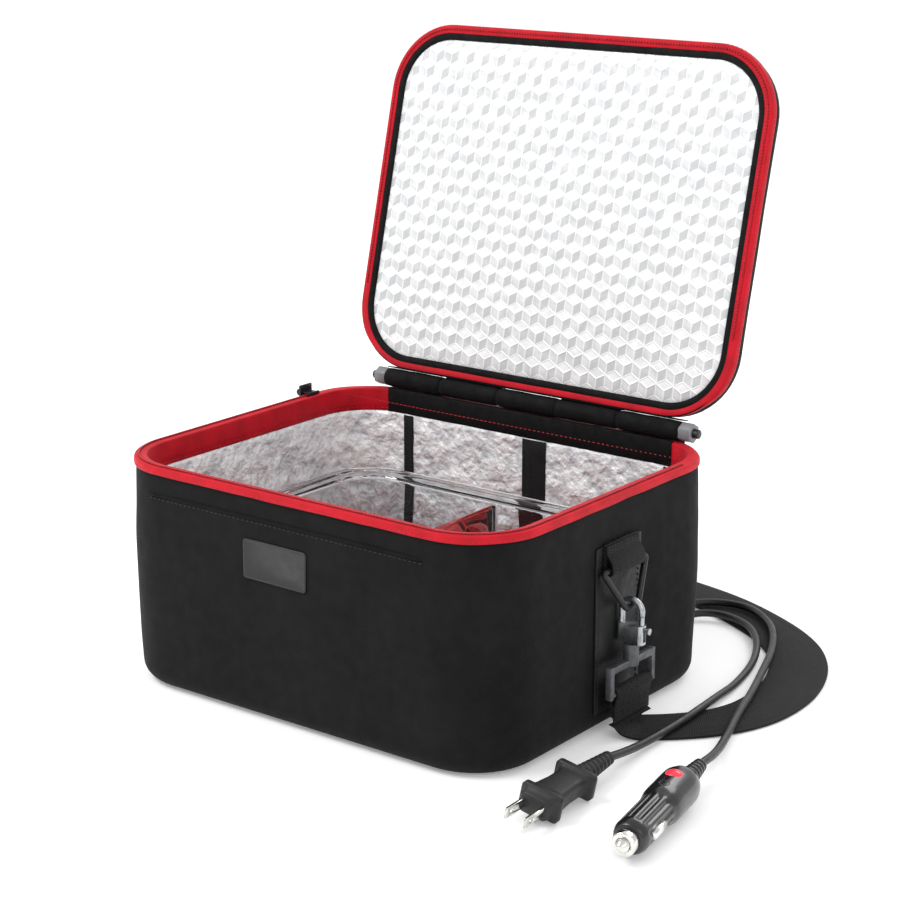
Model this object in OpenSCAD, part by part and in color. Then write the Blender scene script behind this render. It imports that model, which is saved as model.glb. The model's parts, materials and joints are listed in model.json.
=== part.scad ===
// Portable electric lunch box: an insulated bag with a zipped lid, a heating tray that stands
// in it, a glass dish, a shoulder strap and two detachable leads. Millimetres, +Z up, +Y to the
// back, origin on the floor at the centre of the bag.

/* [Bag] */
// Length of the bag, left to right
bag_l = 300; // [290:1:320]
// Width of the bag, front to back
bag_w = 248; // [240:1:262]
// Height of the bag's rim above the floor
bag_h = 147; // [140:1:170]
// Plan radius of the bag's upright corners
corner_r = 45; // [40:1:50]
// Radius of the soft edge round the bottom
bottom_r = 12; // [8:1:13]
// Thickness of the cover fabric
fabric_t = 1.2; // [1.0:0.1:1.4]
// Thickness of the whole insulated wall
wall_t = 7; // [6.5:0.5:8]

/* [Lid] */
// Angle to which the lid stands open, from closed
lid_open = 104; // [90:1:108]
// Thickness of the closed lid
lid_t = 24; // [20:1:30]

/* [Heating tray] */
// Length of the tray
tray_l = 278; // [270:1:279]
// Width of the tray
tray_w = 226; // [220:1:227]
// Height of the tray, feet included
tray_h = 27; // [27:0.5:29]
// Plan radius of the tray's corners
tray_r = 28; // [24:1:30]

/* [Glass dish] */
// Length over the dish's rim
dish_l = 238; // [226:1:246]
// Width over the dish's rim
dish_w = 178; // [170:1:186]
// Height of the dish
dish_h = 64; // [58:1:68]
// Thickness of the glass
glass_t = 4; // [3:0.5:5]

/* [Strap and leads] */
// Width of the strap's webbing
web_w = 38; // [36:1:38]
// Diameter of both leads
cord_d = 5; // [4.6:0.1:5.2]
// Distance of the side tabs behind the bag's middle
tab_y = 2; // [-10:1:10]

/* [Hidden] */
$fn = 64;
half_l = bag_l / 2;
half_w = bag_w / 2;
over = 1;                                  // how far a cutting solid passes a face

// bag walls
shell_top = bag_h - 3;
board_t = 2;
liner_t = 0.8;
foam_t = wall_t - fabric_t - liner_t;
floor_z = fabric_t + board_t + 5;          // top of the foam floor
liner_floor_z = floor_z + liner_t;         // where the tray stands
in_l = bag_l - 2 * wall_t;
in_w = bag_w - 2 * wall_t;
in_r = corner_r - wall_t;
facing_h = 13;
back_tape_t = 0.6;                         // black tape over the facing behind the roll
strap_low = 16;                            // lower end of the straps down the inside
strap_top = shell_top - facing_h - 0.5;    // and their upper end, under the facing
tape_t = 1.3;
tape_h = 4.8;
zip_end_y = half_w - corner_r - 2;         // the lower chain stops here at both sides
slider_room = 18;                          // the upper chain stops this far before it
chain_w = 1.5;
chain_h = 1.3;
chain_gap = 0.45;
pocket_h = 116;
pocket_z = bottom_r + 2 + pocket_h / 2;    // middle of the front pocket's panel
label_w = 50;
label_h = 25;
label_x = -8;
label_z = 104;

// hinge
sleeve_r = 6.5;
rod_r = 3;
sleeve_l = bag_l - 60;
run_gap = 0.6;
run_pitch = (sleeve_l + run_gap) / 5;
run_l = run_pitch - run_gap;
cap_l = 9;
rod_l = sleeve_l + 2 * cap_l + 8;
hinge_y = half_w - 3;
hinge_z = bag_h + sleeve_r + 0.5;

// lid, drawn closed and then turned open
lid_z = bag_h + 2 * chain_h + chain_gap;
lid_back = hinge_y - sleeve_r - 0.9;
lid_w = half_w + lid_back;
lid_y = (lid_back - half_w) / 2;
lid_edge_r = 17;
lid_binding_w = 6;
lid_flap_h = 6;                            // how far the lid's loops are sewn up its back

// tray, dish
tray_z = liner_floor_z;
pad_t = 1.5;
foot_h = 5.5;
housing_z = tray_z + pad_t + foot_h;       // lower edge of the housing's wall
plate_t = 2.5;
plate_z = tray_z + tray_h - plate_t;
tray_wall = 2.4;
boss_x = -6;
boss_w = 90;
boss_out = 2.6;
ac_x = -4;
dc_x = 27;
inlet_z = housing_z + 7.6;
foot_x = tray_l / 2 - 22;
foot_y = tray_w / 2 - 22;
dish_z = plate_z + plate_t;
dish_r = 36;
divider_x = 2;
divider_y = 8;

// strap hardware on one side
patch_t = 1.6;
patch_w = 48;
ring_x = half_l + patch_t + 3.9;           // axis of the D-ring's top bar
ring_z = 104;
ring_wire = 2;
ring_drop = 26;
ring_top = 23;                             // half the length of the ring's top bar
ring_foot = 6.5;                           // half the length of its lower bar
ring_lean = 13;
loop_w = 35;                               // the loop stays clear of the ring's slanted legs
loop_h = 16;                               // above the ring's top bar, below the hanging zip pull
hook_x = ring_x + ring_drop * sin(ring_lean);
hook_z = ring_z - ring_drop * cos(ring_lean) - 2.7;
hook_r = 7;
hook_wire = 2;
body_top = hook_z - 8;
body_h = 12;
bar_z = 28;                                // axis of the strap ring's lower bar
strap_t = 1.6;
strap_end_z = 9.5;
web_ease = 8;                              // rings over which the hanging end turns

// leads
cord_r = cord_d / 2;
coil_pitch = cord_d + 0.6;
coil_out_r = 36.5;
ac_coil = [-88, 172];
dc_coil = [22, 172];
ac_turns = 6;
dc_turns = 6.25;
ac_leave = -90;
dc_leave = -30;
ac_plug_at = [189.4, -62.5, 11.2];
ac_plug_turn = -87;
ac_plug_roll = -12;
car_plug_at = [238, -42, 12.5];
car_plug_turn = -79;
ac_conn_at = [-112, 131, 4.8];
dc_plug_at = [-9.5, 146.5, 5.2];
dc_plug_turn = 150;

// routes of the leads on the floor, from the coil to the plug
ac_route = [[-70, 135.5, 8], [-45, 134, 5], [-20, 131, 2.6], [20, 129, 2.6], [55, 129, 2.6],
    [76, 138, 2.6], [84, 158, 2.6], [87, 178, 3], [94, 192, 4.8], [110, 199, 4.9],
    [133, 191, 4.9], [151, 172, 4.5], [163, 150, 2.8], [172, 125, 2.6], [178.5, 96, 2.8],
    [182, 70, 4.2], [184.5, 48, 4.9], [186, 25, 4.9], [186.5, 0, 4.9], [187, -24, 5.6],
    [188.3, -44, 8]];
dc_route = [[60, 169, 8], [67, 188, 5.5], [77, 205, 4.8], [91, 218, 4.9], [108, 223, 4.9],
    [125, 218, 4.9], [144, 202, 4.9], [158, 182, 4.9], [171.5, 155, 4.9], [184, 122, 4.8],
    [196.5, 87, 4.8], [207.5, 52.5, 4.9], [217.5, 24, 5], [226, 0, 6], [233.5, -21, 9.8]];
// middle line of the shoulder strap, from the right side round the back to the left side
strap_route = [[161.6, 2, 9.2], [162, 2.2, 5], [165, 4, 1.6], [172, 10, 1.1],
    [183, 20, 1.1], [195, 34, 1.1], [205, 52, 1.1], [210.5, 75, 1.1], [209.5, 106, 1.1],
    [200.5, 138, 1.1], [186.5, 164, 1.1], [167, 186, 1.1], [138, 206, 1.1], [95, 226, 1.1],
    [50, 237, 1.1], [14, 240, 1.1], [10.5, 240, 1.2], [2.8, 240, 5.6], [0, 240, 5.8],
    [-2.8, 240, 5.6], [-10.5, 240, 1.2], [-14, 240, 1.1], [-60, 240, 1.1], [-110, 234, 1.1],
    [-165, 212, 1.1], [-207, 172, 1.1], [-228, 122, 1.1], [-228, 72, 1.1], [-212, 32, 1.1],
    [-188, 8, 1.1], [-173, 2.4, 1.1], [-165.5, 2, 1.6], [-162, 2, 5], [-161.6, 2, 9.2]];
adjuster_x = 0;
adjuster_y = 240;

// ---------- helpers ----------
function unit(v) = v / norm(v);
// point on the smooth curve through a list of points, for t from 0 to len - 1
function spline(p, t) =
    let (i = min(floor(t), len(p) - 2), f = t - i,
         a = p[max(i - 1, 0)], b = p[i], c = p[i + 1], d = p[min(i + 2, len(p) - 1)])
    0.5 * (2 * b + (c - a) * f + (2 * a - 5 * b + 4 * c - d) * f * f
        + (3 * b - a - 3 * c + d) * f * f * f);
function smooth(p, steps) = [for (k = [0 : (len(p) - 1) * steps]) spline(p, k / steps)];
function heading(p, i) = unit(p[min(i + 1, len(p) - 1)] - p[max(i - 1, 0)]);
function across(t) = unit(cross(t, [0, 0, 1]));
function run_length(p, i = 1) = i >= len(p) ? 0 : norm(p[i] - p[i - 1]) + run_length(p, i + 1);

// round tube along points, closed at both ends
module tube(p, r, sides) {
    rings = [for (i = [0 : len(p) - 1]) let (t = heading(p, i), s = across(t), u = cross(s, t))
        for (k = [0 : sides - 1]) p[i] + r * (cos(360 * k / sides) * s + sin(360 * k / sides) * u)];
    skin(rings, len(p), sides);
}

// triangles over rings of points, with flat ends
module skin(rings, n, sides) {
    walls = [for (i = [0 : n - 2]) for (k = [0 : sides - 1])
        let (a = i * sides + k, b = i * sides + (k + 1) % sides)
        each [[a, a + sides, b], [b, a + sides, b + sides]]];
    near = [for (k = [1 : sides - 2]) [0, k, k + 1]];
    far = [for (k = [1 : sides - 2]) let (o = (n - 1) * sides) [o, o + k + 1, o + k]];
    polyhedron(points = rings, faces = concat(walls, near, far), convexity = 6);
}

// flat band of webbing; its width lies level, and along Y where it hangs at both ends
module webbing(p, width, thick) {
    rings = [for (i = [0 : len(p) - 1])
        let (t = heading(p, i), end = min(i, len(p) - 1 - i), turned = min(end / web_ease, 1),
             s = unit([0, -1, 0] * (1 - turned) + unit([t[1], -t[0], 0]) * turned),
             u = unit(cross(s, t)))
        each [p[i] - width / 2 * s - thick / 2 * u, p[i] - width / 2 * s + thick / 2 * u,
              p[i] + width / 2 * s + thick / 2 * u, p[i] + width / 2 * s - thick / 2 * u]];
    skin(rings, len(p), 4);
}

module rounded_plan(l, w, r) {
    square([l - 2 * r, w], center = true);
    square([l, w - 2 * r], center = true);
    for (x = [-1, 1], y = [-1, 1])
        translate([x * (l / 2 - r), y * (w / 2 - r)])
            circle(r = r, $fn = 96);
}

module slab(l, w, r, h) {
    linear_extrude(h)
        rounded_plan(l, w, r);
}

// side view of a box with a round lower edge
module edge_profile(s, h, b) {
    translate([-s / 2, b])
        square([s, h - b]);
    translate([b - s / 2, 0])
        square([s - 2 * b, h]);
    intersection() {
        translate([-s / 2, 0])
            square([s, h]);
        for (x = [-1, 1])
            translate([x * (s / 2 - b), b])
                circle(r = b, $fn = 48);
    }
}

// box with round upright corners and a round lower edge
module tub(l, w, h, r, b) {
    for (x = [-1, 1], y = [-1, 1])
        translate([x * (l / 2 - r), y * (w / 2 - r), 0])
            rotate_extrude($fn = 96)
                intersection() {
                    edge_profile(2 * r, h, b);
                    square([r, h]);
                }
    rotate([90, 0, 0])
        linear_extrude(w - 2 * r, center = true)
            edge_profile(l, h, b);
    rotate([90, 0, 90])
        linear_extrude(l - 2 * r, center = true)
            edge_profile(w, h, b);
}

// upright band round the bag, from its outer face inwards
module rim_band(out, inward, z, h) {
    translate([0, 0, z])
        linear_extrude(h)
            difference() {
                rounded_plan(bag_l + 2 * out, bag_w + 2 * out, corner_r + out);
                rounded_plan(bag_l - 2 * inward, bag_w - 2 * inward, corner_r - inward);
            }
}

// keeps what lies in front of y
module in_front_of(y) {
    intersection() {
        children();
        translate([-bag_l, -bag_w, 0])
            cube([2 * bag_l, bag_w + y, 2 * bag_h]);
    }
}

module bar(a, b, r) {
    d = b - a;
    translate(a)
        rotate([0, acos(d[2] / norm(d)), atan2(d[1], d[0])])
            cylinder(r = r, h = norm(d), $fn = 24);
}

// ---------- bag ----------
module outer_shell() {
    color("#1c1c1e")
        difference() {
            tub(bag_l, bag_w, shell_top, corner_r, bottom_r);
            translate([0, 0, fabric_t])
                tub(bag_l - 2 * fabric_t, bag_w - 2 * fabric_t, bag_h, corner_r - fabric_t,
                    bottom_r - fabric_t);
        }
}

module base_plate() {
    margin = 2 * bottom_r + 4;
    translate([0, 0, fabric_t])
        slab(bag_l - margin, bag_w - margin, corner_r - bottom_r, board_t);
}

module base_board() {
    color("#5a5a58")
        base_plate();
}

module wall_insulation() {
    color("#d8d8d4")
        difference() {
            translate([0, 0, fabric_t])
                tub(bag_l - 2 * fabric_t, bag_w - 2 * fabric_t, shell_top - fabric_t,
                    corner_r - fabric_t, bottom_r - fabric_t);
            base_plate();
            translate([0, 0, floor_z])
                slab(in_l + 2 * liner_t, in_w + 2 * liner_t, in_r + liner_t, bag_h);
        }
}

module foil_liner() {
    color("#c9cbce")
        difference() {
            translate([0, 0, floor_z])
                slab(in_l + 2 * liner_t, in_w + 2 * liner_t, in_r + liner_t,
                    shell_top - facing_h - floor_z);
            translate([0, 0, liner_floor_z])
                slab(in_l, in_w, in_r, bag_h);
        }
}

// red tape that lines the top of the inside and folds over the rim
module rim_tape() {
    color("#d0122f") {
        translate([0, 0, shell_top - facing_h])
            difference() {
                slab(in_l + 2 * liner_t, in_w + 2 * liner_t, in_r + liner_t, facing_h);
                translate([0, 0, -over])
                    slab(in_l, in_w, in_r, facing_h + 2 * over);
            }
        rim_band(0, wall_t, shell_top, bag_h - shell_top);
        in_front_of(zip_end_y)
            rim_band(tape_t, 0, bag_h - tape_h, tape_h);
    }
}

module lower_zip_chain() {
    color("#b00f28")
        in_front_of(zip_end_y)
            rim_band(-1, 1 + chain_w, bag_h, chain_h);
}

module front_pocket() {
    color("#1a1a1c")
        translate([0, -half_w, pocket_z])
            rotate([90, 0, 0])
                linear_extrude(fabric_t)
                    difference() {
                        rounded_plan(bag_l - 2 * corner_r, pocket_h, 6);
                        translate([label_x, label_z - pocket_z])
                            rounded_plan(label_w + 0.4, label_h + 0.4, 2);
                    }
}

module label_patch() {
    color("#3a3a3c")
        translate([label_x, -half_w, label_z])
            rotate([90, 0, 0])
                linear_extrude(fabric_t + 0.7)
                    rounded_plan(label_w, label_h, 2);
}

module liner_straps() {
    color("#141414")
        intersection() {
            slab(in_l, in_w, in_r, bag_h);
            union() {
                for (s = [[-99, 8], [8, 19]])
                    translate([s[0] - s[1] / 2, in_w / 2 - 1.4, strap_low])
                        cube([s[1], 4, strap_top - strap_low]);
                translate([in_l / 2 - in_r, in_w / 2 - in_r, strap_low])
                    rotate([0, 0, -14])
                        translate([-4, in_r - 1.4, 0])
                            cube([8, 4, strap_top - strap_low]);
            }
        }
}

// ---------- hinge ----------
// fabric sleeve round the rod; tabs lie on a face that is drawn at z = 0 and faces up
module sleeve_run(x, length, bore_r) {
    translate([x, hinge_y, hinge_z])
        rotate([0, 90, 0])
            difference() {
                cylinder(r = sleeve_r, h = length);
                translate([0, 0, -over])
                    cylinder(r = bore_r, h = length + 2 * over);
            }
}

// black tape inside the rim, from the roll down over the red facing
module back_tape() {
    translate([0, 0, shell_top - facing_h])
        intersection() {
            difference() {
                slab(in_l, in_w, in_r, bag_h - shell_top + facing_h);
                translate([0, 0, -over])
                    slab(in_l - 2 * back_tape_t, in_w - 2 * back_tape_t, in_r - back_tape_t, bag_h);
            }
            translate([-sleeve_l / 2, 0, 0])
                cube([sleeve_l, bag_w, bag_h]);
        }
}

// three runs that hold the rod, sewn down the back of the bag
module hinge_sleeve() {
    color("#161616") {
        back_tape();
        for (k = [0, 2, 4]) {
            x = -sleeve_l / 2 + k * run_pitch;
            sleeve_run(x, run_l, rod_r);
            difference() {
                union() {
                    translate([x, half_w, shell_top - 26])
                        cube([run_l, 1.2, hinge_z - shell_top + 26]);
                    translate([x, hinge_y + 3, bag_h])
                        cube([run_l, 1.2, 4]);
                }
                translate([x - over, hinge_y, hinge_z])
                    rotate([0, 90, 0])
                        cylinder(r = rod_r, h = run_l + 2 * over);
            }
        }
    }
}

// two runs that turn on the rod, sewn up the back of the lid
module lid_hinge_loops() {
    color("#161616")
        on_lid()
            for (k = [1, 3]) {
                x = -sleeve_l / 2 + k * run_pitch;
                sleeve_run(x, run_l, rod_r + 0.05);
                difference() {
                    union() {
                        translate([x, lid_back, hinge_z])
                            cube([run_l, 1, lid_flap_h]);
                        translate([x, lid_back, hinge_z])
                            cube([run_l, hinge_y - lid_back, 2]);
                    }
                    translate([x - over, hinge_y, hinge_z])
                        rotate([0, 90, 0])
                            cylinder(r = rod_r + 1, h = run_l + 2 * over);
                }
            }
}

module hinge_rod() {
    color("#202020")
        translate([-rod_l / 2, hinge_y, hinge_z])
            rotate([0, 90, 0])
                cylinder(r = rod_r, h = rod_l);
}

module hinge_end_caps() {
    color("#7b7d80")
        for (x = [-sleeve_l / 2 - cap_l, sleeve_l / 2])
            translate([x, hinge_y, hinge_z])
                rotate([0, 90, 0])
                    difference() {
                        cylinder(r = sleeve_r, h = cap_l, $fn = 6);
                        translate([0, 0, -over])
                            cylinder(r = rod_r, h = cap_l + 2 * over);
                    }
}

// ---------- lid ----------
module on_lid() {
    translate([0, hinge_y, hinge_z])
        rotate([-lid_open, 0, 0])
            translate([0, -hinge_y, -hinge_z])
                children();
}

// the lid is a tub turned upside down over the rim
module lid_tub(inset, z, h, b) {
    translate([0, lid_y, z + h])
        mirror([0, 0, 1])
            tub(bag_l - 2 * inset, lid_w - 2 * inset, h, corner_r - inset, b);
}

module lid_slab(inset, z, h) {
    translate([0, lid_y, z])
        slab(bag_l - 2 * inset, lid_w - 2 * inset, corner_r - inset, h);
}

module lid_shell() {
    color("#1c1c1e")
        on_lid()
            difference() {
                lid_tub(0, lid_z, lid_t, lid_edge_r);
                lid_tub(fabric_t, lid_z - over, lid_t - fabric_t + over, lid_edge_r - fabric_t);
            }
}

module lid_foam() {
    color("#d8d8d4")
        on_lid()
            lid_tub(fabric_t, lid_z + 3, lid_t - fabric_t - 3, lid_edge_r - fabric_t);
}

module lid_foil_panel() {
    color("#c9cbce")
        on_lid()
            lid_slab(lid_binding_w, lid_z + 1.8, 1.2);
}

module lid_binding() {
    color("#151515")
        on_lid()
            difference() {
                lid_slab(fabric_t, lid_z, 3);
                lid_slab(lid_binding_w, lid_z - over, 3 + 2 * over);
            }
}

// upright band round the lid, from its outer face inwards
module lid_band(out, inward, z, h) {
    translate([0, lid_y, z])
        linear_extrude(h)
            difference() {
                rounded_plan(bag_l + 2 * out, lid_w + 2 * out, corner_r + out);
                rounded_plan(bag_l - 2 * inward, lid_w - 2 * inward, corner_r - inward);
            }
}

module lid_zip_tape() {
    color("#d0122f")
        on_lid()
            in_front_of(lid_back - corner_r / 2)
                lid_band(tape_t, 0, lid_z, tape_h);
}

module upper_zip_chain() {
    color("#b00f28")
        on_lid()
            in_front_of(zip_end_y - slider_room)
                lid_band(-1, 1 + chain_w, lid_z - chain_h, chain_h);
}

// ---------- zip slider ----------
slider_x = half_l + tape_t + 0.4;
slider_y = zip_end_y - 8;                  // parked where only the lower chain runs
slider_z = bag_h + 1.4;
pull_x = slider_x + 3.4;

// drawn on the right and mirrored to the left
module zip_slider() {
    color("#26262a") at_side(-1) {
        difference() {
            translate([slider_x, slider_y - 6, slider_z - 5.5])
                cube([1.4, 12, 11]);
            translate([slider_x - over, slider_y - 3, slider_z - 4.5])
                cube([4, 6, 0.8]);
        }
        translate([half_l - 5.1, slider_y - 6, bag_h + 0.3])
            cube([1.4, 12, 2.2]);
        translate([half_l - 5.1, slider_y - 4, bag_h + chain_h + 0.2])
            cube([slider_x - half_l + 6, 8, 1]);
        for (y = [-3.8, 2.2])
            translate([slider_x + 1.4, slider_y + y, slider_z])
                difference() {
                    rotate([-90, 0, 0])
                        linear_extrude(1.6)
                            union() {
                                translate([0, -2.4])
                                    square([2, 4.8]);
                                translate([2, 0])
                                    circle(r = 2.4);
                            }
                    translate([2, -over, 0])
                        rotate([-90, 0, 0])
                            cylinder(r = 1.05, h = 4);
                }
    }
}

// pull tab on a pin through the slider's two ears
module zip_pull() {
    color("#2c2c30") at_side(-1) {
        translate([pull_x, slider_y - 3.8, slider_z])
            rotate([-90, 0, 0])
                cylinder(r = 1, h = 7.6);
        translate([pull_x, slider_y - 1.8, slider_z])
            rotate([-90, 0, 0])
                cylinder(r = 1.8, h = 3.6);
        translate([pull_x - 0.8, slider_y - 1.8, slider_z - 6])
            cube([1.6, 3.6, 6]);
        translate([pull_x - 0.8, slider_y, slider_z - 15])
            rotate([0, 90, 0])
                linear_extrude(1.6)
                    difference() {
                        rounded_plan(20, 8, 2.5);
                        translate([4, 0])
                            rounded_plan(7, 3.4, 1.2);
                    }
    }
}

// ---------- heating tray ----------
module tray_housing() {
    wall_h = plate_z - housing_z;
    color("#3f4044")
        difference() {
            union() {
                translate([0, 0, housing_z])
                    slab(tray_l, tray_w, tray_r, wall_h);
                intersection() {
                    translate([0, 0, tray_z + pad_t])
                        slab(tray_l, tray_w, tray_r, foot_h);
                    for (x = [-1, 1], y = [-1, 1])
                        translate([x * tray_l / 2, y * tray_w / 2, tray_z + pad_t + foot_h / 2])
                            cube([88, 80, foot_h], center = true);
                }
                translate([boss_x - boss_w / 2, -tray_w / 2 - boss_out, housing_z - 2])
                    cube([boss_w, 12, wall_h + 1]);
                translate([48, -tray_w / 2, housing_z - 3])
                    cube([10, 6, 4]);
            }
            difference() {
                translate([0, 0, housing_z])
                    slab(tray_l - 2 * tray_wall, tray_w - 2 * tray_wall, tray_r - tray_wall,
                        wall_h + over);
                for (x = [-1, 1], y = [-1, 1])
                    translate([x * foot_x, y * foot_y, housing_z - over])
                        cylinder(r = 7, h = 7 + over);
            }
            translate([ac_x - 12.6, -tray_w / 2 - boss_out - over, inlet_z - 6.1])
                cube([25.2, 24, 12.2]);
            translate([dc_x, -tray_w / 2 - boss_out - over, inlet_z])
                rotate([-90, 0, 0])
                    cylinder(r = 6.6, h = 24);
            for (x = [-1, 1], y = [-1, 1])
                translate([x * foot_x, y * foot_y, tray_z + pad_t - over])
                    cylinder(r = 1.6, h = 14);
            for (x = [-1, 1], y = [-1, 1])
                translate([x * foot_x, y * foot_y, tray_z + pad_t - over])
                    cylinder(r = 3.2, h = over + 4);
        }
}

module heating_plate() {
    color("#5b5c61")
        translate([0, 0, plate_z])
            slab(tray_l - 1, tray_w - 1, tray_r - 0.5, plate_t);
}

module heating_element() {
    color("#b87333")
        translate([0, 0, plate_z - 0.8])
            difference() {
                slab(220, 160, 20, 0.8);
                for (x = [-80 : 20 : 80])
                    translate([x, (x / 20) % 2 == 0 ? 20 : -20, 0.4])
                        cube([3, 110, 1], center = true);
            }
}

module insulation_pad() {
    color("#e7e2d6")
        translate([0, 0, plate_z - 5.8])
            difference() {
                slab(224, 164, 20, 5);
                translate([60, 20, -over])
                    cylinder(r = 9, h = 7);
                translate([20, 34, 1.9])
                    cube([24, 8, 10]);
            }
}

module tray_base_cover() {
    color("#35363a")
        difference() {
            translate([0, 0, housing_z])
                slab(tray_l - 2 * tray_wall - 0.4, tray_w - 2 * tray_wall - 0.4,
                    tray_r - tray_wall - 0.2, 1.4);
            for (x = [-1, 1], y = [-1, 1])
                translate([x * foot_x, y * foot_y, housing_z - over])
                    cylinder(r = 7.3, h = 4);
            translate([ac_x - 13, -tray_w / 2, housing_z + 0.7])
                cube([dc_x - ac_x + 20, 30, 3]);
            translate([boss_x, 0, housing_z])
                for (y = [-40 : 16 : 56])
                    translate([0, y, 0])
                        cube([70, 3, 4], center = true);
        }
}

// bimetal thermostat, thermal fuse, and the control board with its parts
module tray_components() {
    color("#c8c0a8")
        translate([60, 20, plate_z - 7.8])
            cylinder(r = 8, h = 7);
    color("#d9d9d9")
        translate([22, 38, plate_z - 2.3])
            rotate([0, 90, 0])
                cylinder(r = 1.4, h = 18);
    color("#2f6b3a")
        translate([-30, -88, housing_z + 2])
            cube([60, 30, 1.6]);
    color("#333333") {
        translate([-24, -84, housing_z + 3.6])
            cube([16, 12, 4]);
        translate([4, -80, housing_z + 3.6])
            cylinder(r = 4, h = 4);
        translate([16, -82, housing_z + 3.6])
            cube([10, 8, 3]);
    }
}

module tray_wiring() {
    color("#b02a2a") {
        tube(smooth([[-4, -93.6, inlet_z], [-4, -91, inlet_z - 1], [-12, -88, housing_z + 5],
            [-16, -86, housing_z + 5]], 4), 1, 8);
        tube(smooth([[27, -93.9, inlet_z], [29, -88, inlet_z - 1], [30, -78, housing_z + 6],
            [27.5, -72, housing_z + 5]], 4), 1, 8);
        tube(smooth([[-10, -58, housing_z + 5], [0, -40, housing_z + 5],
            [30, -10, housing_z + 5], [54, 12, housing_z + 6], [60, 18, plate_z - 9]], 4),
            1, 8);
    }
}

module ac_inlet() {
    color("#202124")
        translate([ac_x, -tray_w / 2 - boss_out - 0.8, inlet_z])
            rotate([-90, 0, 0])
                difference() {
                    linear_extrude(22)
                        rounded_plan(25, 12, 3);
                    translate([0, 0, -over])
                        linear_extrude(13)
                            union() {
                                for (x = [-4.3, 4.3])
                                    translate([x, 0])
                                        circle(r = 4.4);
                                square([8, 5.6], center = true);
                            }
                    for (x = [-4.3, 4.3])
                        translate([x, 0, 10])
                            cylinder(r = 1.2, h = 14);
                }
}

module dc_jack() {
    color("#202124")
        translate([dc_x, -tray_w / 2 - boss_out + 0.6, inlet_z])
            rotate([-90, 0, 0]) {
                difference() {
                    cylinder(r = 6.6, h = 20);
                    translate([0, 0, -over])
                        cylinder(r = 3.1, h = 13);
                }
                translate([0, 0, 2])
                    cylinder(r = 1.05, h = 12);
            }
}

// bare metal of both inlets: two pins, and the jack's ring
module inlet_metal() {
    color("#d0d0d0") {
        for (x = [-4.3, 4.3])
            translate([ac_x + x, -tray_w / 2 - boss_out + 3, inlet_z])
                rotate([-90, 0, 0])
                    cylinder(r = 1.2, h = 21);
        translate([dc_x, -tray_w / 2 - boss_out - 0.8, inlet_z])
            rotate([-90, 0, 0])
                difference() {
                    cylinder(r = 6.6, h = 1.4);
                    translate([0, 0, -over])
                        cylinder(r = 3.9, h = 4);
                }
    }
}

module tray_feet() {
    color("#151515")
        for (x = [-1, 1], y = [-1, 1])
            translate([x * (foot_x - 16), y * foot_y, tray_z])
                cylinder(r = 7, h = pad_t);
}

module tray_screws() {
    color("#a8a8aa")
        for (x = [-1, 1], y = [-1, 1])
            translate([x * foot_x, y * foot_y, tray_z + pad_t + 1.6]) {
                cylinder(r = 3, h = 2.4);
                cylinder(r = 1.5, h = 11);
            }
}

// ---------- glass dish ----------
module glass_dish() {
    floor_t = glass_t + 1;
    body_l = dish_l - 12;
    body_w = dish_w - 12;
    color("#dfeef2", 0.5)
        translate([0, 0, dish_z])
            difference() {
                union() {
                    tub(body_l, body_w, dish_h - 6, dish_r - 6, 8);
                    translate([0, 0, dish_h - 6])
                        slab(dish_l, dish_w, dish_r, 6);
                }
                difference() {
                    translate([0, 0, floor_t])
                        tub(body_l - 2 * glass_t, body_w - 2 * glass_t, dish_h,
                            dish_r - 6 - glass_t, 5);
                    translate([divider_x - 2, -dish_w, 0])
                        cube([4, 2 * dish_w, dish_h - 7]);
                    translate([divider_x, divider_y - 2, 0])
                        cube([dish_l, 4, dish_h - 7]);
                }
            }
}

// ---------- strap hardware, drawn on the right and mirrored to the left ----------
module at_side(side) {
    if (side > 0)
        children();
    else
        mirror([1, 0, 0])
            children();
}

module side_patch() {
    translate([half_l, tab_y - patch_w / 2, bottom_r + 2])
        cube([patch_t, patch_w, 118 - bottom_r - 2]);
}

module side_patches() {
    color("#121212")
        for (side = [-1, 1])
            at_side(side)
                side_patch();
}

// webbing that goes round the D-ring's top bar and is sewn to the patch
module tab_loop() {
    translate([ring_x, tab_y + loop_w / 2, ring_z])
        rotate([90, 0, 0])
            linear_extrude(loop_w)
                difference() {
                    union() {
                        circle(r = 3.9);
                        polygon([[-3.9, 0], [3.9, 0], [3.4, 5], [-1.3, 11], [-1.3, loop_h - 1.5],
                            [-2.3, loop_h - 1.5], [-2.3, loop_h], [-3.9, loop_h]]);
                    }
                    circle(r = 2.35);
                    polygon([[-2.3, 0], [2.3, 0], [1.9, 4.2], [-2.2, 9]]);
                }
}

module tab_loops() {
    color("#121212")
        for (side = [-1, 1])
            at_side(side)
                tab_loop();
}

module d_ring() {
    translate([ring_x, tab_y, ring_z])
        rotate([0, -ring_lean, 0]) {
            bar([0, -ring_top, 0], [0, ring_top, 0], ring_wire);
            bar([0, -ring_foot, -ring_drop], [0, ring_foot, -ring_drop], ring_wire);
            for (s = [-1, 1]) {
                bar([0, s * ring_foot, -ring_drop], [0, s * ring_top, 0], ring_wire);
                translate([0, s * ring_top, 0])
                    sphere(r = ring_wire, $fn = 24);
                translate([0, s * ring_foot, -ring_drop])
                    sphere(r = ring_wire, $fn = 24);
            }
        }
}

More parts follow.
